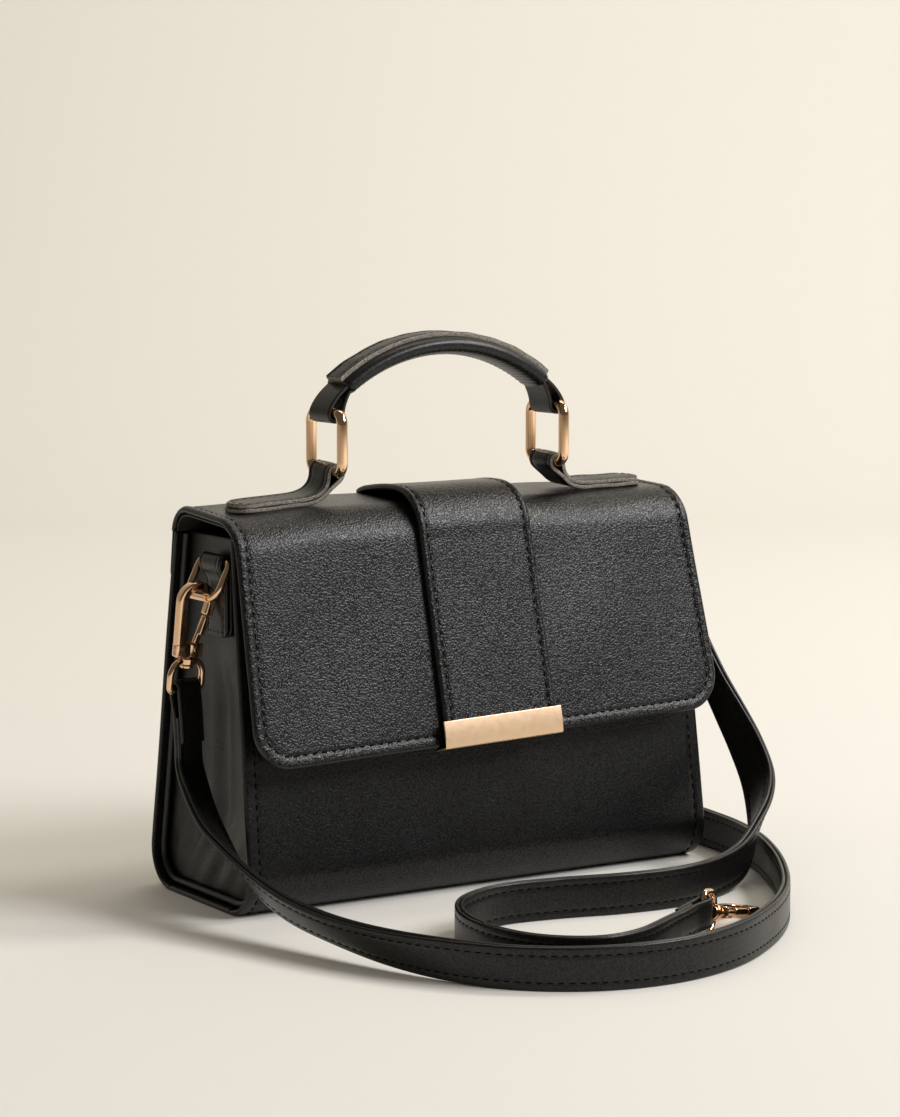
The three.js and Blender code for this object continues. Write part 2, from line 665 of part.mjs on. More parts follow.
function buildBand() {
  addPart('centre_band', prismX(sheetOutline(bandPath(), BAND_THICKNESS), BAND_WIDTH), leather);
  const front = CLEAR + BAND_THICKNESS + CLEAR;
  const back = -flapInside - CLEAR;
  const channel = [
    byFlapEdge(front, -PLATE_HEIGHT), byFlapEdge(front, CLEAR),
    byFlapEdge(back, CLEAR), byFlapEdge(back, -PLATE_BACK_HEIGHT),
    byFlapEdge(back - PLATE_THICKNESS, -PLATE_BACK_HEIGHT),
    byFlapEdge(back - PLATE_THICKNESS, CLEAR + PLATE_THICKNESS),
    byFlapEdge(front + PLATE_THICKNESS, CLEAR + PLATE_THICKNESS),
    byFlapEdge(front + PLATE_THICKNESS, -PLATE_HEIGHT),
  ];
  addPart('band_plate', prismX(channel, PLATE_WIDTH), satinGold);
}

// Magnetic snap

function buildSnap() {
  const socket = turned([
    point(0, 0), point(SNAP_RADIUS, 0), point(SNAP_RADIUS, SOCKET_DEPTH),
    point(SNAP_RADIUS - SOCKET_WALL, SOCKET_DEPTH), point(SNAP_RADIUS - SOCKET_WALL, SOCKET_WALL),
    point(0, SOCKET_WALL),
  ]);
  addPart('snap_socket', seated(socket, onFront(0, snapHeight, CLEAR), frontFacing), gold);
  const magnetOuter = SNAP_RADIUS - SOCKET_WALL - CLEAR;
  const magnetLow = SOCKET_WALL + CLEAR;
  const magnet = subtract(
    roundBar(magnetOuter, magnetLow, SOCKET_DEPTH), roundBar(MAGNET_BORE, 0, 2 * SOCKET_DEPTH),
  );
  addPart('snap_magnet', seated(magnet, onFront(0, snapHeight, CLEAR), frontFacing), magnetGrey);
  const washer = roundBar(WASHER_RADIUS, -WASHER_THICKNESS, 0);
  addPart('socket_washer', seated(washer, onFront(0, snapHeight, -boardInside), frontFacing), steel);
  const studSeat = onFlap(0, snapHeight, flapInside + CLEAR);
  const rimPlane = onFront(0, snapHeight, CLEAR + SOCKET_DEPTH);
  const toRim = rimPlane.clone().sub(studSeat).dot(frontFacing) / flapInward.dot(frontFacing);
  const studTip = toRim - STUD_PLAY;
  const studFace = studTip - STUD_BOSS_HEIGHT;
  const stud = turned([
    point(0, 0), point(SNAP_RADIUS, 0), point(SNAP_RADIUS, studFace), point(STUD_BOSS_RADIUS, studFace),
    point(STUD_BOSS_RADIUS, studTip), point(0, studTip),
  ]);
  addPart('snap_stud', seated(stud, studSeat, flapInward), gold);
}

// Handle

const tabOuterX = flapBottomHalfWidth - TAB_END_INSET;
const lowerBarZ = flapTop + RING_LIFT;
const upperBarZ = lowerBarZ + RING_HEIGHT;
const archCentreZ = flapTop + GRIP_RISE - GRIP_ARCH_RADIUS;

function buildHandleRing(side, name) {
  const loop = roundedLoop(RING_WIDTH, lowerBarZ, upperBarZ, RING_CORNER, RING_CORNER, 4);
  const ring = wireLoop(loop, RING_WIRE, ROUND_SIDES).rotateZ(Math.PI / 2);
  addPart(`${name}_handle_ring`, ring.translate(side * RING_X, HANDLE_Y, 0), gold);
}

/** A strip folded round the ring's lower bar, with its two layers flat on the flap's top. */
function buildAnchorTab(side, name) {
  const foldRadius = RING_WIRE + CLEAR + TAB_THICKNESS / 2;
  const lowZ = flapTop + CLEAR + TAB_THICKNESS / 2;
  const highZ = lowZ + TAB_THICKNESS + CLEAR;
  const bar = point(-RING_X, lowerBarZ);
  const climbX = -RING_X + foldRadius;
  const lowTurn = point(-TAB_TURN_X + 2 * foldRadius, lowZ);
  const highTurn = point(-TAB_TURN_X - foldRadius / 2, highZ);
  const path = [
    point(-tabOuterX, lowZ),
    lowTurn,
    ...bend(lowTurn, point(climbX, lowZ), point(climbX, lowerBarZ), 6),
    ...arc(bar, foldRadius, 0, Math.PI, ROUND_SIDES),
    ...bend(point(-RING_X - foldRadius, lowerBarZ), point(-RING_X - foldRadius, highZ), highTurn, 6),
    highTurn,
    point(-tabOuterX + TAB_TOP_LAYER_SETBACK, highZ),
  ];
  const placed = side < 0 ? path : path.map((p) => point(-p.x, p.y)).reverse();
  addPart(`${name}_anchor_tab`, prismY(sheetOutline(placed, TAB_THICKNESS), TAB_WIDTH, HANDLE_Y), leather);
}

/** A point on the handle's arch, by its angle from the top towards the left and its height above the line. */
function onArch(angle, above) {
  const radius = GRIP_ARCH_RADIUS + above;
  return point(-radius * Math.sin(angle), archCentreZ + radius * Math.cos(angle));
}

/** The left half of the handle strap: from the top of the arch, round the ring's upper bar and back. */
function handleStrapHalf() {
  const foldRadius = RING_WIRE + CLEAR + HANDLE_STRAP_THICKNESS / 2;
  const bar = point(-RING_X, upperBarZ);
  const steps = 10;
  const main = Array.from({ length: steps + 1 }, (_, i) => onArch((GRIP_HALF_ANGLE * i) / steps, 0));
  const outerStart = bar.clone().add(point(-foldRadius, 0));
  const innerStart = bar.clone().add(point(foldRadius, 0));
  const layerDrop = -HANDLE_STRAP_THICKNESS - CLEAR;
  const tailStart = onArch(GRIP_HALF_ANGLE, layerDrop);
  return [
    ...main,
    ...bend(main[steps], point(outerStart.x, upperBarZ + 2 * foldRadius), outerStart, 5),
    ...arc(bar, foldRadius, Math.PI, 2 * Math.PI, ROUND_SIDES),
    ...bend(innerStart, point(innerStart.x, upperBarZ + foldRadius), tailStart, 4),
    tailStart,
    onArch(GRIP_HALF_ANGLE - GRIP_TAIL_ANGLE / 2, layerDrop),
    onArch(GRIP_HALF_ANGLE - GRIP_TAIL_ANGLE, layerDrop),
  ];
}

/** Section of the grip at an angle on the arch, from points across the handle and out from the arch. */
function gripSection(angle, outline) {
  return outline.map((p) => {
    const inPlane = onArch(angle, p.y);
    return new THREE.Vector3(inPlane.x, HANDLE_Y + p.x, inPlane.y);
  });
}

function buildHandle() {
  const left = handleStrapHalf();
  const right = left.slice(1).map((p) => point(-p.x, p.y));
  const path = [...left.reverse(), ...right];
  addPart('handle_strap', prismY(sheetOutline(path, HANDLE_STRAP_THICKNESS), HANDLE_STRAP_WIDTH, HANDLE_Y), leather);
  const halfStrap = HANDLE_STRAP_THICKNESS / 2;
  const paddingLow = halfStrap + CLEAR;
  const paddingHigh = paddingLow + GRIP_PADDING_THICKNESS;
  const slotLow = -halfStrap - CLEAR - HANDLE_STRAP_THICKNESS - CLEAR;
  const slotHigh = paddingHigh + CLEAR;
  const middle = (slotLow + slotHigh) / 2;
  const endRadius = GRIP_HEIGHT / 2;
  const endAcross = GRIP_WIDTH / 2 - endRadius;
  const outer = [
    ...arc(point(endAcross, middle), endRadius, -Math.PI / 2, Math.PI / 2, ROUND_SIDES),
    ...arc(point(-endAcross, middle), endRadius, Math.PI / 2, 1.5 * Math.PI, ROUND_SIDES),
  ];
  const slotHalf = HANDLE_STRAP_WIDTH / 2 + CLEAR;
  const box = (half, low, high) => [point(-half, low), point(half, low), point(half, high), point(-half, high)];
  const steps = 16;
  const along = (reach) => Array.from({ length: steps + 1 }, (_, i) => reach * (1 - (2 * i) / steps));
  const body = loft(along(GRIP_HALF_ANGLE).map((angle) => gripSection(angle, outer)));
  const slotReach = GRIP_HALF_ANGLE + 2 * CLEAR / GRIP_ARCH_RADIUS;
  const slot = loft(along(slotReach).map((angle) => gripSection(angle, box(slotHalf, slotLow, slotHigh))));
  addPart('handle_grip', subtract(body, slot), leather);
  const pad = box(HANDLE_STRAP_WIDTH / 2, paddingLow, paddingHigh);
  const padReach = GRIP_HALF_ANGLE - GRIP_TAIL_ANGLE / 2;
  addPart('grip_padding', loft(along(padReach).map((angle) => gripSection(angle, pad))), foam);
}

// Side rings

const dBarZ = BODY_HEIGHT - D_BAR_DROP;
const sideTabBottom = dBarZ - SIDE_TAB_LENGTH;
const sideTabY = SIDE_TAB_SETBACK - halfDepth(dBarZ, PANEL_THICKNESS);
const sideTabFace = gussetFace * taperAt(sideTabBottom) + CLEAR;
const dFoldRadius = D_WIRE + CLEAR + TAB_THICKNESS / 2;
const dBarX = sideTabFace + TAB_THICKNESS / 2 + dFoldRadius;
const bowX = dBarX + D_HEIGHT * Math.sin(D_TILT);
const bowZ = dBarZ - D_HEIGHT * Math.cos(D_TILT);

/** A strip folded over the side ring's bar, with both layers flat on the gusset below it. */
function buildSideTab(side, name) {
  const nearX = sideTabFace + TAB_THICKNESS / 2;
  const farX = nearX + TAB_THICKNESS + CLEAR;
  const bar = point(dBarX, dBarZ);
  const farStart = point(dBarX + dFoldRadius, dBarZ);
  const farLanding = point(farX, dBarZ - 3 * dFoldRadius);
  const path = [
    point(nearX, sideTabBottom),
    ...arc(bar, dFoldRadius, Math.PI, 0, ROUND_SIDES),
    ...bend(farStart, point(farStart.x, dBarZ - dFoldRadius), farLanding, 5),
    farLanding,
    point(farX, sideTabBottom),
  ];
  const placed = side > 0 ? path : path.map((p) => point(-p.x, p.y)).reverse();
  addPart(`${name}_side_tab`, prismY(sheetOutline(placed, TAB_THICKNESS), SIDE_TAB_WIDTH, sideTabY), leather);
}

function buildSideRing(side, name) {
  const loop = roundedLoop(D_WIDTH, -D_HEIGHT, 0, D_BOW_CORNER, D_BAR_CORNER, 5);
  const ring = wireLoop(loop, D_WIRE, ROUND_SIDES).rotateZ(Math.PI / 2);
  ring.rotateY(-side * D_TILT).translate(side * dBarX, sideTabY, dBarZ);
  addPart(`${name}_side_ring`, ring, gold);
}

// Hooks and strap

/** Axes of a hook: X along its eye's bar, Z from the strap to the hook's nose. */
function hookAxes(along, bar) {
  const z = along.clone().normalize();
  const x = bar.clone().addScaledVector(z, -bar.dot(z)).normalize();
  return new THREE.Matrix4().makeBasis(x, z.clone().cross(x), z);
}

/** The axes moved so that one of their own points falls on a place. */
function placedAxes(axes, local, place) {
  const moved = place.clone().sub(local.clone().applyMatrix4(axes));
  return axes.clone().setPosition(moved);
}

const collarTop = HOOK_BASE_BOTTOM - CLEAR;
const collarBottom = collarTop - COLLAR_HEIGHT;
const headTop = collarBottom - CLEAR;
const headBottom = headTop - NECK_HEAD_HEIGHT;
const eyeTopV = (collarTop + collarBottom) / 2;
const eyeBarV = eyeTopV - EYE_HEIGHT;
const strapEndV = eyeBarV - EYE_WIRE - STRAP_END_LENGTH;
const eyeBar = new THREE.Vector3(0, 0, eyeBarV);
const strapSeam = new THREE.Vector3(0, 0, strapEndV - CLEAR);

/** A round bar across the hook through the gate's pivot. */
function pinBar(radius, reach) {
  const bar = roundBar(radius, -reach, reach, 0, 0, 12);
  return bar.rotateX(Math.PI / 2).translate(GATE_PIVOT_U, 0, GATE_PIVOT_V);
}

/** The hook's flat frame: base, arm and nose, with a slot for the gate and a riveted neck below. */
function hookFrameGeometry() {
  const bendMiddle = point(HOOK_MIDDLE_U, HOOK_BEND_V);
  const armU = HOOK_MIDDLE_U - HOOK_BEND_RADIUS;
  const path = [
    point(armU, HOOK_BASE_BOTTOM),
    ...arc(bendMiddle, HOOK_BEND_RADIUS, Math.PI, HOOK_NOSE_ANGLE, 2 * ROUND_SIDES),
  ];
  const bendEnd = path[path.length - 1];
  path.push(point(
    bendEnd.x + HOOK_NOSE * Math.sin(HOOK_NOSE_ANGLE),
    bendEnd.y - HOOK_NOSE * Math.cos(HOOK_NOSE_ANGLE),
  ));
  const arm = prismY(sheetOutline(path, HOOK_BAND), HOOK_DEPTH);
  const base = prismY([
    point(armU, HOOK_BASE_BOTTOM), point(HOOK_BASE_RIGHT, HOOK_BASE_BOTTOM),
    point(HOOK_BASE_RIGHT, HOOK_BASE_TOP), point(armU, HOOK_BASE_TOP),
  ], HOOK_DEPTH);
  const neck = roundBar(NECK_RADIUS, headBottom, GATE_PIVOT_V - GATE_BAND);
  const head = roundBar(NECK_HEAD_RADIUS, headBottom, headTop);
  const slotLeft = GATE_PIVOT_U - GATE_BAND;
  const gateHeel = Math.hypot(GATE_BAND / 2, GATE_BAND / 2);
  const slotLow = GATE_PIVOT_V - gateHeel - CLEAR;
  const slot = prismY([
    point(slotLeft, slotLow), point(2 * HOOK_BASE_RIGHT, slotLow),
    point(2 * HOOK_BASE_RIGHT, 2 * HOOK_BASE_TOP), point(slotLeft, 2 * HOOK_BASE_TOP),
  ], GATE_DEPTH + 2 * GATE_SIDE_PLAY);
  return subtract(join(arm, base, neck, head), slot, pinBar(PIN_RADIUS + PIN_PLAY, HOOK_DEPTH));
}

/** The sprung gate that closes the hook, from its pin to the nose. */
function hookGateGeometry() {
  const path = [
    point(GATE_PIVOT_U, GATE_PIVOT_V - GATE_BAND / 2), point(GATE_PIVOT_U, GATE_PIVOT_V + GATE_BAND),
    point(GATE_TIP_U, GATE_TIP_V),
  ];
  const lever = prismY(sheetOutline(path, GATE_BAND), GATE_DEPTH);
  return subtract(lever, pinBar(PIN_RADIUS + PIN_PLAY, HOOK_DEPTH));
}

/** The eye that turns on the hook's neck and carries the strap on its lower bar. */
function eyeGeometry() {
  const loop = roundedLoop(EYE_WIDTH, eyeBarV, eyeTopV, EYE_BAR_CORNER, EYE_TOP_CORNER, 4);
  const wire = wireLoop(loop, EYE_WIRE, ROUND_SIDES);
  const collar = roundBar(COLLAR_RADIUS, collarBottom, collarTop);
  const hole = roundBar(NECK_RADIUS + CLEAR, 2 * collarBottom, 0);
  return subtract(join(wire, collar), hole);
}

/** The strap's end, folded round the eye's bar: its section runs across the bar. */
function strapEndGeometry() {
  const foldRadius = EYE_WIRE + CLEAR + STRAP_END_LAYER / 2;
  const leaf = (STRAP_END_LAYER + CLEAR) / 2;
  const low = eyeBarV - STRAP_FOLD_SLACK;
  const high = eyeBarV + STRAP_FOLD_SLACK;
  const landing = low - 3 * foldRadius;
  const path = [
    point(-leaf, strapEndV), point(-leaf, landing),
    ...bend(point(-leaf, landing), point(-foldRadius, low - foldRadius), point(-foldRadius, low), 4),
    ...arc(point(0, high), foldRadius, Math.PI, 0, ROUND_SIDES),
    ...bend(point(foldRadius, low), point(foldRadius, low - foldRadius), point(leaf, landing), 4),
    point(leaf, landing), point(leaf, strapEndV),
  ];
  return prismX(sheetOutline(path, STRAP_END_LAYER), STRAP_END_WIDTH);
}

/** A hook with its gate, pin and eye, turned on the eye's neck, and the strap's end on the eye. */
function buildHook(name, eyeFrame, turn, foldFrame) {
  const hookFrame = eyeFrame.clone().multiply(new THREE.Matrix4().makeRotationZ(turn));
  addPart(`${name}_hook_frame`, hookFrameGeometry().applyMatrix4(hookFrame), gold);
  addPart(`${name}_hook_gate`, hookGateGeometry().applyMatrix4(hookFrame), gold);
  addPart(`${name}_gate_pin`, pinBar(PIN_RADIUS, HOOK_DEPTH / 2 + PIN_HEAD).applyMatrix4(hookFrame), gold);
  addPart(`${name}_eye_ring`, eyeGeometry().applyMatrix4(eyeFrame), gold);
  addPart(`${name}_strap_end`, strapEndGeometry().applyMatrix4(foldFrame), leather);
}

const leftBow = new THREE.Vector3(-bowX, sideTabY, bowZ);
const ringInHook = new THREE.Vector3(RING_IN_HOOK_U, 0, RING_IN_HOOK_V);
ringInHook.applyAxisAngle(new THREE.Vector3(0, 0, 1), LEFT_HOOK_TURN);
const leftFrame = placedAxes(hookAxes(LEFT_HOOK_ALONG, LEFT_EYE_BAR), ringInHook, leftBow);
const leftBar = eyeBar.clone().applyMatrix4(leftFrame);
const leftLean = new THREE.Matrix4().makeRotationX(-LEFT_FOLD_LEAN);
const leftFoldFrame = placedAxes(hookAxes(LEFT_HOOK_ALONG, LEFT_EYE_BAR).multiply(leftLean), eyeBar, leftBar);
const freeFoldFrame = placedAxes(hookAxes(FREE_STRAP_ALONG, FREE_EYE_BAR), eyeBar, FREE_EYE_AT);
const freeHookAlong = FREE_STRAP_ALONG.clone().normalize()
  .addScaledVector(FREE_EYE_BAR, Math.tan(FREE_HOOK_DROOP));
const freeEyeFrame = placedAxes(hookAxes(freeHookAlong, FREE_EYE_BAR), eyeBar, FREE_EYE_AT);

/** Where the strap leaves a fold, and a point straight on from there. */
function strapLead(foldFrame) {
  const seam = strapSeam.clone().applyMatrix4(foldFrame);
  const lead = strapSeam.clone().add(new THREE.Vector3(0, 0, -STRAP_LEAD)).applyMatrix4(foldFrame);
  return [seam, lead];
}

/** Points of the strap's route over the bow of the right side ring, from its inner to its outer side. */
function routeOverBow() {
  const radius = D_WIRE + STRAP_RING_PLAY + STRAP_THICKNESS / 2;
  const over = arc(point(bowX, bowZ), radius, Math.PI, 0, 4);
  const inner = point(bowX - radius, bowZ - STRAP_RING_LEG);
  const outer = point(bowX + radius, bowZ - STRAP_RING_LEG / 3);
  return [inner, ...over, outer].map((p) => [p.x, sideTabY, p.y, 0, -1, 0]);
}

/** The strap: a flat section carried along its route, with its upper edge kept where the route puts it. */
function buildStrap() {
  const route = [...ROUTE_TO_RING, ...routeOverBow(), ...ROUTE_FROM_RING];
  const between = route.map(([x, y, z]) => new THREE.Vector3(x, y, z));
  const places = [...strapLead(leftFoldFrame), ...between, ...strapLead(freeFoldFrame).reverse()];
  const startEdge = LEFT_EYE_BAR.clone().negate();
  const endEdge = FREE_EYE_BAR.clone().negate();
  const turns = route.map((row) => new THREE.Vector3(row[3], row[4], row[5]));
  const edges = [startEdge, startEdge, ...turns, endEdge, endEdge];
  const line = new THREE.CatmullRomCurve3(places, false, 'centripetal');
  const spans = places.length - 1;
  const steps = spans * STRAP_STEPS_PER_POINT;
  const halfWidth = STRAP_WIDTH / 2;
  const halfThickness = STRAP_THICKNESS / 2;
  const chamfer = STRAP_THICKNESS / 4;
  const section = [
    point(halfWidth - chamfer, halfThickness), point(-halfWidth + chamfer, halfThickness),
    point(-halfWidth, halfThickness - chamfer), point(-halfWidth, -halfThickness + chamfer),
    point(-halfWidth + chamfer, -halfThickness), point(halfWidth - chamfer, -halfThickness),
    point(halfWidth, -halfThickness + chamfer), point(halfWidth, halfThickness - chamfer),
  ];
  const middles = Array.from({ length: steps + 1 }, (_, i) => line.getPoint(i / steps));
  const runs = [0];
  middles.slice(1).forEach((middle, i) => runs.push(runs[i] + middle.distanceTo(middles[i])));
  const sections = middles.map((middle, i) => {
    const share = i / steps;
    const gap = Math.min(runs[i], runs[steps] - runs[i]);
    const foldShare = STRAP_END_WIDTH / STRAP_WIDTH;
    const width = foldShare + (1 - foldShare) * THREE.MathUtils.smoothstep(gap, 0, STRAP_NARROWS);
    const along = line.getTangent(share);
    const at = Math.min(Math.floor(share * spans), spans - 1);
    const up = edges[at].clone().lerp(edges[at + 1], share * spans - at);
    up.addScaledVector(along, -up.dot(along)).normalize();
    const face = along.clone().cross(up);
    return section.map((p) => {
      const corner = middle.clone().addScaledVector(up, width * p.x).addScaledVector(face, p.y);
      corner.z = Math.max(corner.z, GROUND);
      return corner;
    });
  });
  addPart('shoulder_strap', loft(sections), leather);
}

buildPanels();
buildBoards();
buildLining();
buildFlap();
buildBand();
buildSnap();
buildHandle();
for (const [side, name] of [[-1, 'left'], [1, 'right']]) {
  buildGusset(side, name);
  buildAnchorTab(side, name);
  buildHandleRing(side, name);
  buildSideTab(side, name);
  buildSideRing(side, name);
}
buildHook('left', leftFrame, LEFT_HOOK_TURN, leftFoldFrame);
buildHook('free', freeEyeFrame, FREE_HOOK_TURN, freeFoldFrame);
buildStrap();

export default bag;
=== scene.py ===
"""Looks of a small black leather crossbody bag: soft leather, stitching and light gold fittings on its frame.

Sizes are millimetres in the bag's own frame: +X to the right as seen from the front, +Y to the back, +Z up.
"""

import logging
from dataclasses import dataclass, field, replace
from enum import Enum
from typing import Any, Callable, Mapping, Optional, Sequence

import bmesh
import bpy
import numpy as np
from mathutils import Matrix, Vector


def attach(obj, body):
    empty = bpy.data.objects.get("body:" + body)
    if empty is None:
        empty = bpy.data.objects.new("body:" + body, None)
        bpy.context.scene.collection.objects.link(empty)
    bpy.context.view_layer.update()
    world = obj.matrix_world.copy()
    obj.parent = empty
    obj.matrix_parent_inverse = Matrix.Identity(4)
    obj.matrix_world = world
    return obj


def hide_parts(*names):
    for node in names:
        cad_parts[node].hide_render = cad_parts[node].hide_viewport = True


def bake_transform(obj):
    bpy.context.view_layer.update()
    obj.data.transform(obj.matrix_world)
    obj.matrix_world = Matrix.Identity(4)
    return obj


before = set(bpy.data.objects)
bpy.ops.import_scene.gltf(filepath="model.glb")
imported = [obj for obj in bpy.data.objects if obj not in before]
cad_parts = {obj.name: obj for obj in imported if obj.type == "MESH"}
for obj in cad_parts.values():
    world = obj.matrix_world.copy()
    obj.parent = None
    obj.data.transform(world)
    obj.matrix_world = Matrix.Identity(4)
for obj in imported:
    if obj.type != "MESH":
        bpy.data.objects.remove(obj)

Array = np.ndarray
Field = Callable[[Array], Array]
Pair = tuple[float, float]
Triple = tuple[float, float, float]
Piece = bpy.types.Object
Tree = bpy.types.NodeTree
Socket = bpy.types.NodeSocket

LOG = logging.getLogger("bag")
MM = 0.001
ON_BAG, ON_FLAP = "bag_body", "flap_body"  # the bodies that most pieces ride on
X_AXIS, Y_AXIS, Z_AXIS = np.eye(3)
CLEAR = 0.3  # between two pieces that lie against each other
WELD = 1e-6  # metres within which two points of a shell are one
TINY = 1e-9  # least length that is divided by
SHARP_ANGLE = np.radians(50)  # two faces that meet at more than this are shaded apart
SIDE_SHARE = 0.49  # of its shorter side, the most that a rounded corner takes up
LEAST_TURN = 0.3  # radius of a seam's tightest corner

# Rows of points of a sheet: their distances from an edge and their angles round a corner.
EDGE_PLACES = np.array((0, .04, .14, .3, .5, .8, 1.2, 1.7, 2.3, 2.9, 3.5, 4.1, 4.7, 5.3, 6, 7.2, 9))
CORNER_TURN = np.radians(np.arange(4.0, 91.0, 4.0))
EDGE_SHARE = 0.4  # of a sheet's length, the most that the rows near one edge take up
LEAST_GAP = 0.03  # between two rows
LINE_STEP = 0.4  # between the points of a strip's line

BAR_ENDS = np.radians((0.0, 25.0, 50.0, 75.0))  # angles of the rings round a bar's end
BAR_LOOK = 0.2  # to each side, for the direction of a bar

WAVE_COUNT = 5
GOLDEN_TURN = 2.399963  # radians, spreads the directions of the waves evenly
WAVE_SPANS = 0.7 + 0.15 * np.arange(WAVE_COUNT)  # the waves' lengths as shares of their span
WAVE_TILT, WAVE_PHASE = 1.7, 3.1  # how much faster than its direction a wave's tilt and start turn on

# One stitch: its rings' places and thickness as shares of half its length and of its radius.
STITCH_PLACES = np.array((-1.0, -0.82, -0.4, 0.4, 0.82, 1.0))
STITCH_TAPER = np.array((0.25, 0.75, 1.0, 1.0, 0.75, 0.25))
STITCH_SIDES = 6
STITCH_LOOK = 0.4  # to each side, for the direction of the seam
SEAM_STEP = 0.5  # between the points of a seam
SEAM_SPREAD = 0.75  # half width of the dip along a seam
EDGE_LEFT = 0.86  # share of the thickness below which a face belongs to the edge


class Side(Enum):
    """The bag's two ends, as seen from the front."""

    LEFT = -1.0
    RIGHT = 1.0

    @property
    def word(self) -> str:
        """The side's name as it starts the name of a piece."""
        return self.name.lower()


def unit(vectors: Array) -> Array:
    """Vectors divided by their own lengths."""
    return vectors / np.maximum(np.linalg.norm(vectors, axis=-1, keepdims=True), TINY)


def coords(*parts: Any) -> Array:
    """Points from their coordinates, each an array or a number."""
    return np.stack(np.broadcast_arrays(*parts), axis=-1)


def chained(*stretches: Any) -> Array:
    """The points of several stretches one after another."""
    return np.concatenate(stretches)


def full_turn(count: int) -> Array:
    """Equal angles once round a circle."""
    return np.linspace(0.0, 2 * np.pi, count, endpoint=False)


def left_of(ahead: Array) -> Array:
    """Flat directions turned a quarter to the left."""
    return coords(-ahead[:, 1], ahead[:, 0])


def ease(values: Array, low: float, high: float) -> Array:
    """A smooth rise from 0 at low to 1 at high: t * t * (3 - 2 * t)."""
    share = np.clip((values - low) / (high - low), 0.0, 1.0)
    return share * share * (3.0 - 2.0 * share)


def arc(centre: Sequence[float], radius: float, start: float, stop: float, steps: int = 24) -> Array:
    """Points on a circle's arc.

    Args:
        centre: the circle's middle, two numbers.
        radius: the circle's radius.
        start: first angle in radians.
        stop: last angle in radians.
        steps: number of equal steps between them.

    Returns:
        Array of steps + 1 rows: centre + radius * (cos, sin).
    """
    angles = np.linspace(start, stop, steps + 1)
    return np.asarray(centre, float) + radius * coords(np.cos(angles), np.sin(angles))


def run_lengths(line: Array) -> Array:
    """Distance along a line to each of its points."""
    return chained([0.0], np.cumsum(np.linalg.norm(np.diff(line, axis=0), axis=1)))


def sample(line: Array, places: Array) -> Array:
    """Points of a line at distances along it, straight between its own points."""
    reach = run_lengths(line)
    return np.stack([np.interp(places, reach, column) for column in line.T], axis=-1)


def even(line: Array, step: float) -> Array:
    """The line with its points set an even step apart."""
    total = run_lengths(line)[-1]
    return sample(line, np.linspace(0.0, total, max(2, int(np.ceil(total / step)) + 1)))


def softened(line: Array, step: float, reach: float) -> Array:
    """A line with its kinks eased: each point becomes the mean of those within a reach of it.

    Args:
        line: points of the line.
        step: spacing of the points that come back.
        reach: distance over which the mean is taken, to each side.

    Returns:
        The eased line, with its two ends kept.
    """
    points = even(line, step)
    half = min(int(reach / step), len(points) - 1)
    if half < 1:
        return points
    before = 2.0 * points[0] - points[half:0:-1]
    after = 2.0 * points[-1] - points[-2:-half - 2:-1]
    padded = chained(before, points, after)
    weights = np.hanning(2 * half + 3)[1:-1]
    weights = weights / weights.sum()
    return np.stack([np.convolve(column, weights, "valid") for column in padded.T], axis=1)


def rounded(points: Sequence[Sequence[float]], radius: float, steps: int = 5, closed: bool = True) -> Array:
    """An outline with its corners rounded: each becomes the quadratic curve between two points beside it.

    Args:
        points: the outline's corners.
        radius: distance from a corner at which its curve starts, or half its side where that is shorter.
        steps: steps of each curve.
        closed: whether the last corner joins the first.

    Returns:
        Points of the rounded outline.
    """
    every = np.asarray(points, float)
    corners = every if closed else every[1:-1]
    back = (np.roll(every, 1, axis=0) if closed else every[:-2]) - corners
    on = (np.roll(every, -1, axis=0) if closed else every[2:]) - corners
    shortest = np.minimum(np.linalg.norm(back, axis=1), np.linalg.norm(on, axis=1))
    reach = np.minimum(radius, SIDE_SHARE * shortest)[:, None]
    first = (corners + unit(back) * reach)[:, None]
    last = (corners + unit(on) * reach)[:, None]
    t = np.linspace(0.0, 1.0, steps + 1)[None, :, None]
    curve = (1 - t) ** 2 * first + 2 * t * (1 - t) * corners[:, None] + t ** 2 * last
    flat = curve.reshape(-1, every.shape[1])
    return flat if closed else chained(every[:1], flat, every[-1:])


def rounded_box(left: float, low: float, right: float, high: float, radius: float) -> Array:
    """Outline of a rectangle with rounded corners."""
    return rounded([(left, low), (right, low), (right, high), (left, high)], radius)


def bend(start: Sequence[float], control: Sequence[float], stop: Sequence[float], steps: int = 16) -> Array:
    """The quadratic curve from start to stop that leaves and arrives in line with its control point."""
    t = np.linspace(0.0, 1.0, steps + 1)[:, None]
    return (1 - t) ** 2 * np.array(start) + 2 * t * (1 - t) * np.array(control) + t ** 2 * np.array(stop)


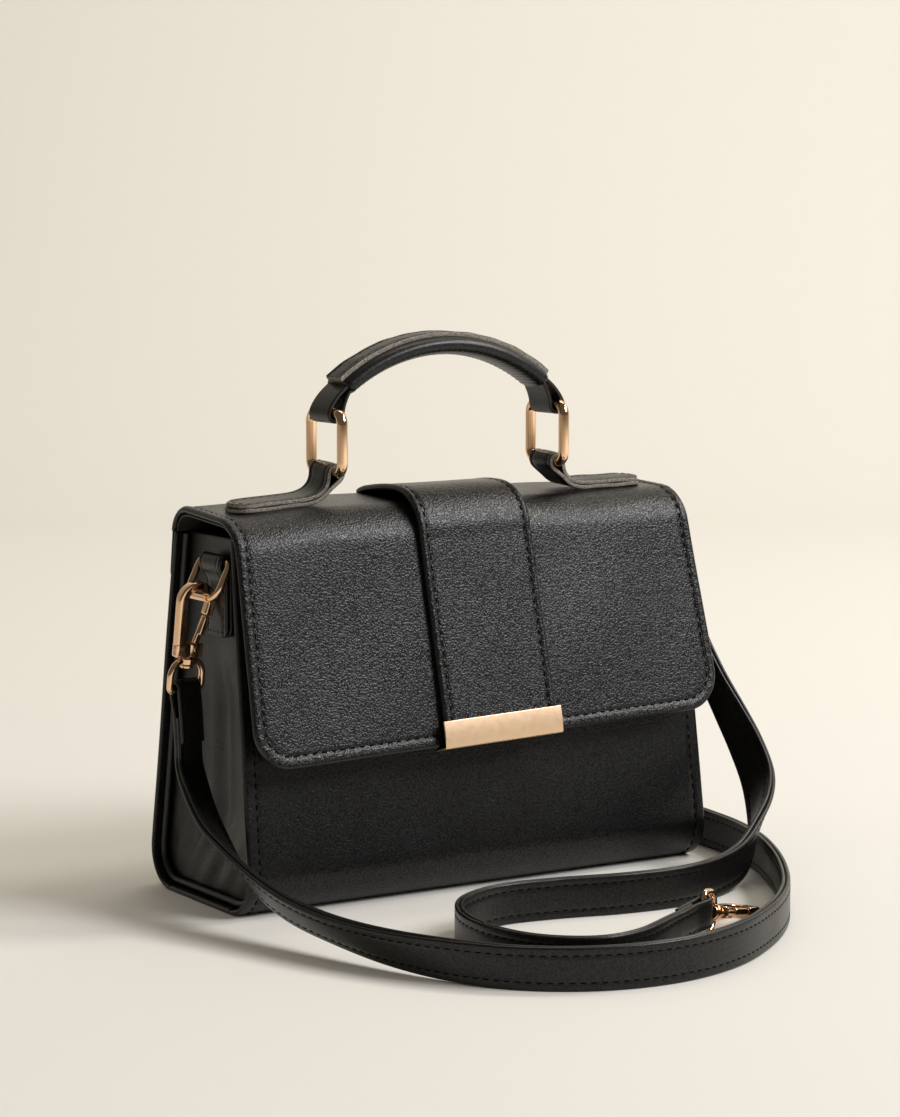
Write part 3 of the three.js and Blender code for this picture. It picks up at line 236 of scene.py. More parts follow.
def curve_through(points: Array, steps: int) -> Array:
    """A smooth curve through points: the centripetal Catmull-Rom spline, as cubic Hermite spans.

    Args:
        points: the points that it passes through.
        steps: steps in each span.

    Returns:
        Points on the curve, the first and last among them.
    """
    ends = np.stack([2 * points[0] - points[1], 2 * points[-1] - points[-2]])
    knots = chained(ends[:1], points, ends[1:])
    gaps = np.sqrt(np.linalg.norm(np.diff(knots, axis=0), axis=1))[:, None]
    before, here, after = gaps[:-2], gaps[1:-1], gaps[2:]
    p0, p1, p2, p3 = knots[:-3], knots[1:-2], knots[2:-1], knots[3:]
    leave = ((p1 - p0) / before - (p2 - p0) / (before + here) + (p2 - p1) / here) * here
    arrive = ((p2 - p1) / here - (p3 - p1) / (here + after) + (p3 - p2) / after) * here
    t = (np.arange(steps) / steps)[None, :, None]
    spans = (
        (2 * t ** 3 - 3 * t ** 2 + 1) * p1[:, None]
        + (t ** 3 - 2 * t ** 2 + t) * leave[:, None]
        + (3 * t ** 2 - 2 * t ** 3) * p2[:, None]
        + (t ** 3 - t ** 2) * arrive[:, None]
    )
    return chained(spans.reshape(-1, 3), points[-1:])


def places_along(length: float, step: float, first_corner: float = 0.0, last_corner: float = 0.0) -> Array:
    """Distances along a side of a sheet, close together at its two edges and even between them.

    Args:
        length: the side's length.
        step: spacing away from the edges.
        first_corner: radius of the round corners at the start; a place there is radius * (1 - cos(angle)).
        last_corner: the same at the far end.

    Returns:
        Rising distances from 0 to length.
    """
    turn = 1.0 - np.cos(CORNER_TURN)
    near = EDGE_PLACES[EDGE_PLACES < EDGE_SHARE * length]
    first = chained(near, first_corner * turn)
    last = length - chained(near, last_corner * turn)
    count = max(2, int(np.ceil((last.min() - first.max()) / step)) + 1)
    middle = np.linspace(first.max(), last.min(), count)
    every = np.sort(chained(first, middle, last))
    kept = every[chained([True], np.diff(every) > LEAST_GAP)]
    kept[-1] = length
    return kept


@dataclass(frozen=True)
class Waves:
    """Soft unevenness of leather: the mean of five sine waves that run in different directions.

    Each wave's direction is turned on by the golden angle, and its length grows by 0.15 of the span from 0.7.
    """

    height: float
    span: float
    seed: float = 0.0

    def __call__(self, points: Array) -> Array:
        """Height of the waves at points, whose last axis is x, y, z."""
        turns = np.arange(1, WAVE_COUNT + 1) * GOLDEN_TURN + self.seed
        directions = np.stack([np.cos(turns), np.sin(WAVE_TILT * turns), np.sin(turns)], axis=0)
        pace = 2 * np.pi / (self.span * WAVE_SPANS)
        return self.height * np.sin(points @ directions * pace + WAVE_PHASE * turns).mean(axis=-1)


@dataclass
class Shell:
    """Points in millimetres, the faces between them and the number of each face's finish."""

    points: Array
    faces: list[list[int]]
    finish: Array


def grid_shell(points: Array, loop_rows: bool = False, loop_columns: bool = False, caps: bool = False,
               edge: Optional[Array] = None) -> Shell:
    """Faces over a grid of points.

    Args:
        points: rows x columns x 3.
        loop_rows: whether the last row joins the first.
        loop_columns: whether the last column joins the first.
        caps: whether the first and the last row are closed with a face each.
        edge: rows x columns, true where the second finish belongs.

    Returns:
        The grid as a shell of quads.
    """
    rows, columns = points.shape[:2]
    plain = np.arange(rows * columns).reshape(rows, columns)
    index = chained(plain, plain[:1]) if loop_rows else plain
    index = np.concatenate([index, index[:, :1]], axis=1) if loop_columns else index
    quads = np.stack([index[:-1, :-1], index[:-1, 1:], index[1:, 1:], index[1:, :-1]], axis=-1).reshape(-1, 4)
    finish = np.zeros(len(quads), int) if edge is None else edge.reshape(-1)[quads].all(axis=1).astype(int)
    faces = quads.tolist()
    if caps:
        faces += [plain[0, ::-1].tolist(), plain[-1].tolist()]
        finish = chained(finish, [0, 0])
    return Shell(points.reshape(-1, 3), faces, finish)


def joined(shells: Sequence[Shell]) -> Shell:
    """Several shells as one."""
    starts = np.cumsum([0] + [len(shell.points) for shell in shells]).tolist()
    faces = [[corner + start for corner in face]
             for shell, start in zip(shells, starts) for face in shell.faces]
    return Shell(np.concatenate([shell.points for shell in shells]), faces,
                 np.concatenate([shell.finish for shell in shells]))


def node(tree: Tree, kind: str, values: Optional[Mapping[Any, Any]] = None,
         links: Optional[Mapping[Any, Any]] = None) -> bpy.types.Node:
    """Adds a shader node, sets it and links it.

    Args:
        tree: the material's node tree.
        kind: the node's type.
        values: settings, each a property of the node or an input socket, by its name or number.
        links: input sockets with the output socket that feeds each.

    Returns:
        The new node.
    """
    added = tree.nodes.new(kind)
    for key, value in (values or {}).items():
        if isinstance(key, int) or key in added.inputs:
            added.inputs[key].default_value = value
        else:
            setattr(added, key, value)
    for key, source in (links or {}).items():
        tree.links.new(source, added.inputs[key])
    return added


def linear(hex_colour: str) -> tuple[float, float, float, float]:
    """An sRGB hex colour as the linear colour that a shader socket takes."""
    shares = np.array([int(hex_colour[i:i + 2], 16) for i in (1, 3, 5)]) / 255.0
    light = np.where(shares <= 0.04045, shares / 12.92, ((shares + 0.055) / 1.055) ** 2.4)
    return (*light.tolist(), 1.0)


def per_metre(size: float) -> float:
    """Scale of a pattern on Object coordinates whose feature is this many millimetres."""
    return 1.0 / (size * MM)


Sockets = tuple[dict[str, Any], dict[str, Socket]]
NOISE_SPAN = {"From Min": 0.3, "From Max": 0.7}  # where nearly all values of a noise lie


@dataclass(frozen=True)
class Finish:
    """A named material with its record slot and two tones; each kind of finish lays its own nodes."""

    name: str
    slot: str
    dark: str
    light: str

    @property
    def tones(self) -> dict[Any, Any]:
        """Settings of a node that mixes the dark and the light tone."""
        return {"data_type": "RGBA", 6: linear(self.dark), 7: linear(self.light)}

    def material(self) -> bpy.types.Material:
        """The finish as a Blender material, made the first time that it is asked for."""
        known = bpy.data.materials.get(self.name)
        if known is not None:
            return known
        made = bpy.data.materials.new(self.name)
        made.use_nodes = True
        tree = made.node_tree
        tree.nodes.clear()
        values, links = self.lay(tree, node(tree, "ShaderNodeTexCoord").outputs["Object"])
        shader = node(tree, "ShaderNodeBsdfPrincipled", values, links)
        node(tree, "ShaderNodeOutputMaterial", links={"Surface": shader.outputs["BSDF"]})
        return made

    def lay(self, tree: Tree, where: Socket) -> Sockets:
        """Lays the finish's own nodes and gives the values and links of the shader's sockets."""
        raise NotImplementedError


@dataclass(frozen=True)
class GrainedLeather(Finish):
    """Coated leather with a pressed grain: satin black, fine pebbles that catch the light one by one, and
    painted shade that darkens the colour in the dips.
    """

    dark: str = "#080808"
    light: str = "#141414"
    pebble: float = 0.74
    relief: float = 0.105
    patch: float = 22.0
    roughness: Pair = (0.29, 0.35)
    specular: Pair = (0.22, 0.52)

    def lay(self, tree: Tree, where: Socket) -> Sockets:
        """One fine noise is the grain's relief, its gloss and a colour with painted shade in the dips; a
        broad noise varies the sheen.
        """
        grain = node(tree, "ShaderNodeTexNoise",
                     {"Scale": per_metre(self.pebble), "Detail": 1.0, "Roughness": 0.4}, {"Vector": where})
        pebbles = node(tree, "ShaderNodeMapRange", {"From Min": 0.35, "From Max": 0.65},
                       {"Value": grain.outputs["Fac"]}).outputs["Result"]
        bump = node(tree, "ShaderNodeBump", {"Strength": 1.0, "Distance": self.relief * MM},
                    {"Height": pebbles})
        broad = node(tree, "ShaderNodeTexNoise", {"Scale": per_metre(self.patch), "Detail": 3.0},
                     {"Vector": where})
        sheen = node(tree, "ShaderNodeMapRange",
                     {**NOISE_SPAN, "To Min": self.roughness[0], "To Max": self.roughness[1]},
                     {"Value": broad.outputs["Fac"]})
        # Painted shade: the colour follows the grain's height, darker in the dips and lighter on the pebbles'
        # tops.
        colour = node(tree, "ShaderNodeMix", self.tones, {0: pebbles})
        gloss = node(tree, "ShaderNodeMapRange", {"To Min": self.specular[0], "To Max": self.specular[1]},
                     {"Value": pebbles})
        return {}, {"Base Color": colour.outputs[2], "Roughness": sheen.outputs["Result"],
                    "Normal": bump.outputs["Normal"], "Specular IOR Level": gloss.outputs["Result"]}


@dataclass(frozen=True)
class NoisyFinish(Finish):
    """A surface whose tone, gloss and small relief come from one noise: paint, thread, board or plating."""

    feature: float
    roughness: Pair
    bump: float
    depth: float
    metallic: float = 0.0
    stretch: Triple = (1.0, 1.0, 1.0)
    specular: float = 0.5

    def lay(self, tree: Tree, where: Socket) -> Sockets:
        """One noise, stretched along the surface's own lines, drives colour, roughness and bump."""
        scaled = node(tree, "ShaderNodeMapping", {"Scale": self.stretch}, {"Vector": where})
        noise = node(tree, "ShaderNodeTexNoise",
                     {"Scale": per_metre(self.feature), "Detail": 4.0, "Roughness": 0.55},
                     {"Vector": scaled.outputs["Vector"]}).outputs["Fac"]
        tone = node(tree, "ShaderNodeMapRange", NOISE_SPAN, {"Value": noise})
        gloss = node(tree, "ShaderNodeMapRange",
                     {**NOISE_SPAN, "To Min": self.roughness[0], "To Max": self.roughness[1]},
                     {"Value": noise})
        colour = node(tree, "ShaderNodeMix", self.tones, {0: tone.outputs["Result"]})
        relief = node(tree, "ShaderNodeBump", {"Strength": self.bump, "Distance": self.depth * MM},
                      {"Height": noise})
        return ({"Metallic": self.metallic, "Specular IOR Level": self.specular},
                {"Base Color": colour.outputs[2], "Roughness": gloss.outputs["Result"],
                 "Normal": relief.outputs["Normal"]})


@dataclass(frozen=True)
class WovenLining(Finish):
    """Plain woven polyester: matt black, with crossing threads."""

    dark: str = "#161413"
    light: str = "#282522"
    thread: float = 0.7
    roughness: float = 0.85
    bump: float = 0.3
    depth: float = 0.1

    def lay(self, tree: Tree, where: Socket) -> Sockets:
        """Two sets of bands, slanted both ways so that no wall lies along them, added into a weave.

        A band's period is pi / 5 in x + y + z, so pi / (5 * sqrt(2)) along (1, 1, 0).
        """
        spacing = per_metre(self.thread) * np.pi / (5.0 * np.sqrt(2.0))
        bands = []
        for slant in (1.0, -1.0):
            mirrored = node(tree, "ShaderNodeMapping", {"Scale": (slant, 1.0, 1.0)}, {"Vector": where})
            wave = node(tree, "ShaderNodeTexWave",
                        {"bands_direction": "DIAGONAL", "Scale": spacing, "Distortion": 0.6},
                        {"Vector": mirrored.outputs["Vector"]})
            bands.append(wave.outputs["Fac"])
        weave = node(tree, "ShaderNodeMath", {"operation": "ADD"}, dict(enumerate(bands))).outputs["Value"]
        tone = node(tree, "ShaderNodeMapRange", {"From Max": float(len(bands))}, {"Value": weave})
        colour = node(tree, "ShaderNodeMix", self.tones, {0: tone.outputs["Result"]})
        relief = node(tree, "ShaderNodeBump", {"Strength": self.bump, "Distance": self.depth * MM},
                      {"Height": weave})
        return ({"Roughness": self.roughness},
                {"Base Color": colour.outputs[2], "Normal": relief.outputs["Normal"]})


# Coated split leather with a pressed grain: satin, the pebbles catch the light, the dips are less glossy and
# their colour is darkened as painted shade.
PEBBLED_LEATHER = GrainedLeather("pebbled_coated_leather", "black_leather")
# The wrap's panels are stretched over boards, which flattens the pebbles.
WRAP_LEATHER = GrainedLeather("stretched_coated_leather", "black_leather", relief=0.06, specular=(0.24, 0.4))
# The same hide with a flatter grain, as on the gussets, straps and tabs.
SMOOTH_LEATHER = GrainedLeather("smooth_coated_leather", "black_leather", "#090908", "#131211", relief=0.03,
                                roughness=(0.32, 0.4), specular=(0.3, 0.44))
# Acrylic edge paint on folded leather: even, a little glossier than the grain.
EDGE_PAINT = NoisyFinish("acrylic_edge_paint", "edge_paint", "#0f0e0e", "#1b1a19", feature=0.8,
                         roughness=(0.32, 0.42), bump=0.25, depth=0.12)
# Raw cut edge of two glued layers: fibres that scatter the light, so it looks grey and rough.
RAW_EDGE = NoisyFinish("raw_cut_leather_edge", "edge_paint", "#121110", "#a39b8f", feature=0.55,
                       roughness=(0.6, 0.8), bump=0.9, depth=0.35)
# Twisted polyester sewing thread: black and dull, so each stitch is a dark dash on the satin leather.
THREAD = NoisyFinish("polyester_sewing_thread", "black_leather", "#030303", "#080808", feature=0.3,
                     roughness=(0.75, 0.85), bump=0.6, depth=0.15, specular=0.08)
# Cast zinc with a polished light gold plating: mirror bright, faint wear in the gloss.
POLISHED_GOLD = NoisyFinish("polished_light_gold_plating", "light_gold", "#eec49d", "#f3ceaa", feature=6.0,
                            roughness=(0.09, 0.17), bump=0.03, depth=0.05, metallic=1.0)
# Stamped brass sheet with a satin gold plating: an even, soft shine.
SATIN_GOLD = NoisyFinish("satin_light_gold_plating", "satin_gold", "#f0ceaa", "#f4d4b0", feature=3.0,
                         roughness=(0.38, 0.43), bump=0.0, depth=0.03, metallic=1.0)
# Nickel plated steel washers: pale grey, half bright.
NICKEL = NoisyFinish("nickel_plated_steel", "plated_steel", "#aeaba6", "#c6c3bd", feature=2.0,
                     roughness=(0.25, 0.4), bump=0.1, depth=0.05, metallic=1.0)
# Sintered ferrite: dark grey and matt.
FERRITE = NoisyFinish("sintered_ferrite", "magnet", "#3d3d3f", "#58585a", feature=0.7,
                      roughness=(0.5, 0.65), bump=0.3, depth=0.1, metallic=0.6)
# Pressed fibre board: brown, with short fibres.
FIBRE_BOARD = NoisyFinish("pressed_fibre_board", "fibre_board", "#7a6748", "#97825f", feature=1.2,
                          roughness=(0.85, 0.95), bump=0.5, depth=0.2, stretch=(0.3, 1.0, 1.0))
# Open polyurethane foam: pale, with small cells.
FOAM = NoisyFinish("polyurethane_foam", "foam", "#c9c2b2", "#e0dacd", feature=0.8,
                   roughness=(0.9, 1.0), bump=0.8, depth=0.4)
# Plain woven polyester: matt, its threads drawn coarser than the real ones so that they show.
LINING = WovenLining("woven_polyester_lining", "lining_fabric")


def placed(name: str, data: bpy.types.ID) -> Piece:
    """A new object in the scene."""
    added = bpy.data.objects.new(name, data)
    bpy.context.scene.collection.objects.link(added)
    return added


def add_piece(name: str, shells: Sequence[Shell], finishes: Sequence[Finish], body: Optional[str]) -> Piece:
    """Makes a piece from shells and puts it on its body, in place of the node that has its name.

    Args:
        name: the piece's name.
        shells: closed shells in millimetres.
        finishes: the finish of most faces, and the one of the edge faces after it.
        body: the body that it rides on, or None for a piece that rides on no body.

    Returns:
        The new object, at the origin, with its faces pointing out.
    """
    whole = joined(shells)
    mesh = bpy.data.meshes.new(name)
    mesh.from_pydata((whole.points * MM).tolist(), [], whole.faces)
    mesh.polygons.foreach_set("material_index", whole.finish.astype(np.int32))
    work = bmesh.new()
    work.from_mesh(mesh)
    bmesh.ops.remove_doubles(work, verts=work.verts, dist=WELD)
    bmesh.ops.dissolve_degenerate(work, edges=work.edges, dist=WELD)
    bmesh.ops.recalc_face_normals(work, faces=work.faces)
    work.to_mesh(mesh)
    work.free()
    mesh.shade_smooth()
    mesh.set_sharp_from_angle(angle=SHARP_ANGLE)
    for finish in finishes:
        mesh.materials.append(finish.material())
    piece = placed(name, mesh)
    replaces = [name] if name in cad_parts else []
    if replaces:
        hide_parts(*replaces)
    if body is not None:
        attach(piece, body)
    LOG.info("%s: %d faces on %s", name, len(mesh.polygons), body)
    return piece


@dataclass(frozen=True)
class Stitch:
    """Lockstitch: short rounds of thread that sink into the leather at both ends."""

    length: float = 3.0
    pitch: float = 4.2
    radius: float = 0.46
    sunk: float = 0.4

    def along(self, line: Array, normals: Array) -> Shell:
        """Stitches along a line on a surface.

        A stitch is rings of points: a place along its length, a radius that closes at its ends, and a drop
        with the square of the distance from its middle.

        Args:
            line: points of the seam.
            normals: the surface's normal at each of them.

        Returns:
            All stitches as one shell.
        """
        reach = run_lengths(line)
        count = max(1, int(reach[-1] / self.pitch))
        middles = (np.arange(count) + 0.5) * reach[-1] / count
        centre = sample(line, middles)
        ahead = unit(sample(line, middles + STITCH_LOOK) - sample(line, middles - STITCH_LOOK))
        up = unit(np.stack([np.interp(middles, reach, column) for column in normals.T], axis=1))
        side = np.cross(ahead, up)
        thick = self.radius * STITCH_TAPER
        turn = np.arange(STITCH_SIDES) * 2 * np.pi / STITCH_SIDES
        round_up = np.sin(turn)[None, :] * thick[:, None] - (self.sunk * STITCH_PLACES ** 2)[:, None]
        round_side = np.cos(turn)[None, :] * thick[:, None]
        run = np.repeat((STITCH_PLACES * self.length / 2)[:, None], STITCH_SIDES, axis=1)
        points = (
            centre[:, None, None]
            + run[None, :, :, None] * ahead[:, None, None]
            + round_side[None, :, :, None] * side[:, None, None]
            + round_up[None, :, :, None] * up[:, None, None]
        )
        return joined([grid_shell(rings, loop_columns=True, caps=True) for rings in points])


PANEL_STITCH = Stitch()
POCKET_STITCH = Stitch(length=2.4, pitch=3.2, radius=0.25)
ANCHOR_STITCH = Stitch(length=2.6, pitch=3.6, radius=0.28)
GRIP_STITCH = Stitch(length=2.4, pitch=3.4, radius=0.26)
SIDE_TAB_STITCH = Stitch(length=2.4, pitch=3.2, radius=0.26)
STRAP_END_STITCH = Stitch(length=2.2, pitch=2.5, radius=0.26)
STRAP_STITCH = Stitch(length=2.7, pitch=3.9, radius=0.3, sunk=0.22)


@dataclass(frozen=True)
class Frame:
    """A place with three directions of its own, in which small parts are drawn."""

    origin: Array
    x: Array
    y: Array
    z: Array

    def at(self, local: Array) -> Array:
        """Points of the frame in the bag's own axes."""
        return self.origin + np.asarray(local) @ np.stack([self.x, self.y, self.z])

    def turned(self, angle: float) -> "Frame":
        """The frame turned about its own third direction."""
        c, s = np.cos(angle), np.sin(angle)
        return Frame(self.origin, c * self.x + s * self.y, c * self.y - s * self.x, self.z)

    def moved(self, local: Array, place: Array) -> "Frame":
        """The frame moved so that one of its own points falls on a place."""
        return Frame(self.origin + place - self.at(local), self.x, self.y, self.z)

    @staticmethod
    def along(z: Sequence[float], x: Sequence[float], origin: Sequence[float] = (0.0, 0.0, 0.0)) -> "Frame":
        """A frame from its third direction, one that its first is nearest to, and its place."""
        third = unit(np.asarray(z, float))
        near = np.asarray(x, float)
        first = unit(near - near @ third * third)
        return Frame(np.asarray(origin, float), first, np.cross(third, first), third)


WORLD = Frame(np.zeros(3), X_AXIS, Y_AXIS, Z_AXIS)


@dataclass
class Strip:
    """A leather strip: a line in one plane, carried straight across that plane and given a thickness.

    A point in its axes is (x, a(s), b(s)) + h * normal(s), where s runs along the line (a, b), x across it
    and h out of the middle layer. The thickness closes to nothing at the border along a round edge,
    h = thickness / 2 * sqrt(1 - (1 - border / roll) ** 2), and dips along the seam.
    """

    line: Array
    half_width: float
    thickness: float
    axes: Frame = WORLD
    outward: float = 1.0
    start_corner: float = 0.0
    end_corner: float = 0.0
    roll: float = 0.0
    seam: float = 0.0
    seam_ends: bool = False
    seam_depth: float = 0.3
    welt: float = 0.12
    pucker: float = 0.0
    relief: Optional[Field] = None
    warp: Optional[Field] = None
    step: float = 2.4

    def __post_init__(self) -> None:
        """Sets the line's points evenly and keeps its run and its directions."""
        self.line = even(np.asarray(self.line, float), LINE_STEP)
        self.reach = run_lengths(self.line)
        self.ahead = unit(np.gradient(self.line, axis=0))

    @property
    def length(self) -> float:
        """Length of the strip's line."""
        return float(self.reach[-1])

    def place(self, s: Array, x: Array, h: Array) -> Array:
        """Points of the strip.

        Args:
            s: distances along it.
            x: distances across it.
            h: heights out of its middle layer.

        Returns:
            The points, with the arguments' common shape and a last axis of three.
        """
        s, x, h = np.broadcast_arrays(s, x, h)
        a, b = (np.interp(s, self.reach, self.line[:, axis]) for axis in (0, 1))
        ta, tb = (np.interp(s, self.reach, self.ahead[:, axis]) for axis in (0, 1))
        scale = self.outward / np.maximum(np.hypot(ta, tb), TINY)
        points = self.axes.at(coords(x, a - h * tb * scale, b + h * ta * scale))
        return points if self.warp is None else self.warp(points)

    def half_at(self, s: Array) -> Array:
        """Half width at a distance along the strip: it narrows round its corners as a circle does."""
        half = np.full(np.shape(s), self.half_width)
        for gap, radius in ((s, self.start_corner), (self.length - s, self.end_corner)):
            inward = np.clip(radius - gap, 0.0, radius)
            half = half - (radius - np.sqrt(np.maximum(radius ** 2 - inward ** 2, 0.0)))
        return half

    def border(self, s: Array, x: Array) -> Array:
        """Distance from a place to the strip's border, round its corners too."""
        side = self.half_width - np.abs(x)
        nearest = np.full(np.broadcast(s, x).shape, np.inf)
        for gap, radius in ((s, self.start_corner), (self.length - s, self.end_corner)):
            corner = radius - np.hypot(np.maximum(radius - side, 0.0), np.maximum(radius - gap, 0.0))
            straight = np.minimum(side, gap)
            nearest = np.minimum(nearest, np.where((side < radius) & (gap < radius), corner, straight))
        return np.maximum(nearest, 0.0)

    def rolled(self, border: Array) -> Array:
        """Share of the thickness that is left at a distance from the border."""
        reach = self.roll or self.thickness / 2
        return np.sqrt(1.0 - (1.0 - np.clip(border / reach, 0.0, 1.0)) ** 2)

    def face(self, s: Array, x: Array) -> Array:
        """Height of the outer face: half the thickness, with a dip at the seam and a full welt outside it."""
        border = self.border(s, x)
        height = self.thickness / 2 * self.rolled(border) + self.lie(s, x)
        if not self.seam:
            return height
        inset = border if self.seam_ends else self.half_width - np.abs(x)
        dip = self.seam_depth * np.exp(-((inset - self.seam) / SEAM_SPREAD) ** 2)
        full = np.sin(np.pi * np.clip(inset / self.seam, 0.0, 1.0))
        run = np.where(self.half_width - np.abs(x) < self.length - s, s, x)
        ripple = self.pucker * np.cos(2 * np.pi * run / PANEL_STITCH.pitch) * full
        return height - (dip - self.welt * full - ripple) * self.rolled(border)

    def lie(self, s: Array, x: Array) -> Array:
        """Height of the middle layer's soft unevenness."""
        if self.relief is None:
            return np.zeros(np.broadcast(s, x).shape)
        return self.relief(self.place(s, x, np.zeros(1)))

    def shell(self) -> Shell:
        """The strip's closed surface, with its edge faces marked for the second finish."""
        s = places_along(self.length, self.step, self.start_corner, self.end_corner)[:, None]
        share = places_along(2 * self.half_width, self.step)[None] / self.half_width - 1.0
        x = share * self.half_at(s)
        s = np.broadcast_to(s, x.shape)
        left = self.rolled(self.border(s, x))
        outer = self.place(s, x, self.face(s, x))
        inner = self.place(s, x, self.lie(s, x) - self.thickness / 2 * left)
        edge = left < EDGE_LEFT
        return joined([grid_shell(points, edge=edge) for points in (outer, inner)])

    def sew(self, runs: Sequence[Array], stitch: Stitch) -> list[Shell]:
        """Stitches along runs of (s, x) places on the outer face."""
        shells = []
        for run in runs:
            s, x = even(np.asarray(run, float), SEAM_STEP).T
            height = self.face(s, x)
            line = self.place(s, x, height)
            shells.append(stitch.along(line, unit(self.place(s, x, height + 1.0) - line)))
        return shells

    def side_runs(self, inset: float, start: float, stop: float) -> list[Array]:
        """Two straight runs along the strip's sides, between two distances along it."""
        half = self.half_width - inset
        return [np.array([(start, side * half), (stop, side * half)]) for side in (-1.0, 1.0)]

    def round_end_run(self, inset: float, start: float) -> Array:
        """One run down a side, round the far end and back, a distance in from the border."""
        half = self.half_width - inset
        far = self.length - inset
        radius = max(self.end_corner - inset, LEAST_TURN)
        turn = arc((far - radius, half - radius), radius, np.pi / 2, 0.0, 12)
        mirrored = turn[::-1] * (1.0, -1.0)
        return chained([(start, half)], turn, mirrored, [(start, -half)])


def add_sewn(name: str, strip: Strip, runs: Sequence[Array], stitch: Stitch, finishes: Sequence[Finish],
             body: str) -> list[Piece]:
    """Adds a strip as a piece, and the stitches along runs of places on it as another."""
    return [add_piece(name, [strip.shell()], finishes, body),
            add_piece(f"{name}_stitches", strip.sew(runs, stitch), [THREAD], body)]


def upright_strip(y: float, line: Array, half: float, thickness: float, outward: float, **more: Any) -> Strip:
    """A strip whose line lies in the upright plane along the bag's width, at a depth of y."""
    return Strip(line, half, thickness, Frame(y * Y_AXIS, Y_AXIS, X_AXIS, Z_AXIS), outward, **more)


def rounded_loop(width: float, low: float, high: float, low_corner: float, high_corner: float) -> Array:
    """Closed outline of a ring: a rectangle with its own corner radius below and above.

    Args:
        width: its width, with the middle at 0.
        low: height of its lower side.
        high: height of its upper side.
        low_corner: radius of the two lower corners.
        high_corner: radius of the two upper corners.

    Returns:
        Its points, four quarter circles in turn.
    """
    half = width / 2
    quarter = np.pi / 2
    corners = (
        ((half - low_corner, low + low_corner), low_corner, -quarter),
        ((half - high_corner, high - high_corner), high_corner, 0.0),
        ((-half + high_corner, high - high_corner), high_corner, quarter),
        ((-half + low_corner, low + low_corner), low_corner, 2 * quarter),
    )
    return np.concatenate([arc(middle, radius, start, start + quarter, steps=12)
                           for middle, radius, start in corners])


def bent_wire(line: Array, radius: float, place: Frame, closed: bool = True, sides: int = 20,
              warp: Optional[Field] = None) -> Shell:
    """A round wire or cord bent to a line: a circle carried along it, square to its direction.

    Args:
        line: points in the frame's first and third directions.
        radius: the wire's radius.
        place: the frame.
        closed: whether the line is a loop.
        sides: points round the wire.
        warp: what moves the points at the end, or None.

    Returns:
        The wire, closed on itself or with a cap at each end.
    """
    ahead = np.roll(line, -1, axis=0) - np.roll(line, 1, axis=0) if closed else np.gradient(line, axis=0)
    turn = full_turn(sides)
    flat = line[:, None] + radius * np.cos(turn)[None, :, None] * left_of(unit(ahead))[:, None]
    points = place.at(coords(flat[..., 0], radius * np.sin(turn), flat[..., 1]))
    return grid_shell(points if warp is None else warp(points), loop_rows=closed, loop_columns=True,
                      caps=not closed)


def bar(line: Array, section: Array, place: Frame, end_round: float, step: float = 0.5) -> Shell:
    """A bar with a flat section carried along a line, its two ends drawn in along a quarter circle.

    Args:
        line: points in the frame's first and third directions.
        section: closed outline, its first number across the line, its second along the frame's second
            direction.
        place: the frame.
        end_round: radius of the rounding at the ends.
        step: spacing along the line.

    Returns:
        The closed bar.
    """
    total = run_lengths(line)[-1]
    near = end_round * (1.0 - np.cos(BAR_ENDS))
    drawn = end_round * (1 - np.sin(BAR_ENDS))
    middle = np.linspace(end_round, total - end_round, max(2, int(total / step)))
    s = chained(near, middle, (total - near)[::-1])
    inset = chained(drawn, np.zeros(len(middle)), drawn[::-1])
    ahead = unit(sample(line, np.minimum(s + BAR_LOOK, total)) - sample(line, np.maximum(s - BAR_LOOK, 0.0)))
    shrink = 1.0 - inset[:, None] / np.abs(section).max(axis=0)
    outline = section[None] * shrink[:, None]
    points = sample(line, s)[:, None] + outline[..., :1] * left_of(ahead)[:, None]
    solid = place.at(coords(points[..., 0], outline[..., 1], points[..., 1]))
    return grid_shell(solid, loop_columns=True, caps=True)


def lathe(profile: Array, place: Frame, loop: bool = False, sides: int = 48) -> Shell:
    """A turned piece: a profile of (radius, height) points carried round the frame's third direction.

    Args:
        profile: the points.
        place: the frame.
        loop: whether the profile is closed, as a ring's is.
        sides: points round the piece.

    Returns:
        The closed piece.
    """
    turn = full_turn(sides)
    radius, height = profile[:, :1], profile[:, 1:]
    points = place.at(coords(radius * np.cos(turn), radius * np.sin(turn), height))
    return grid_shell(points, loop_rows=loop, loop_columns=True)


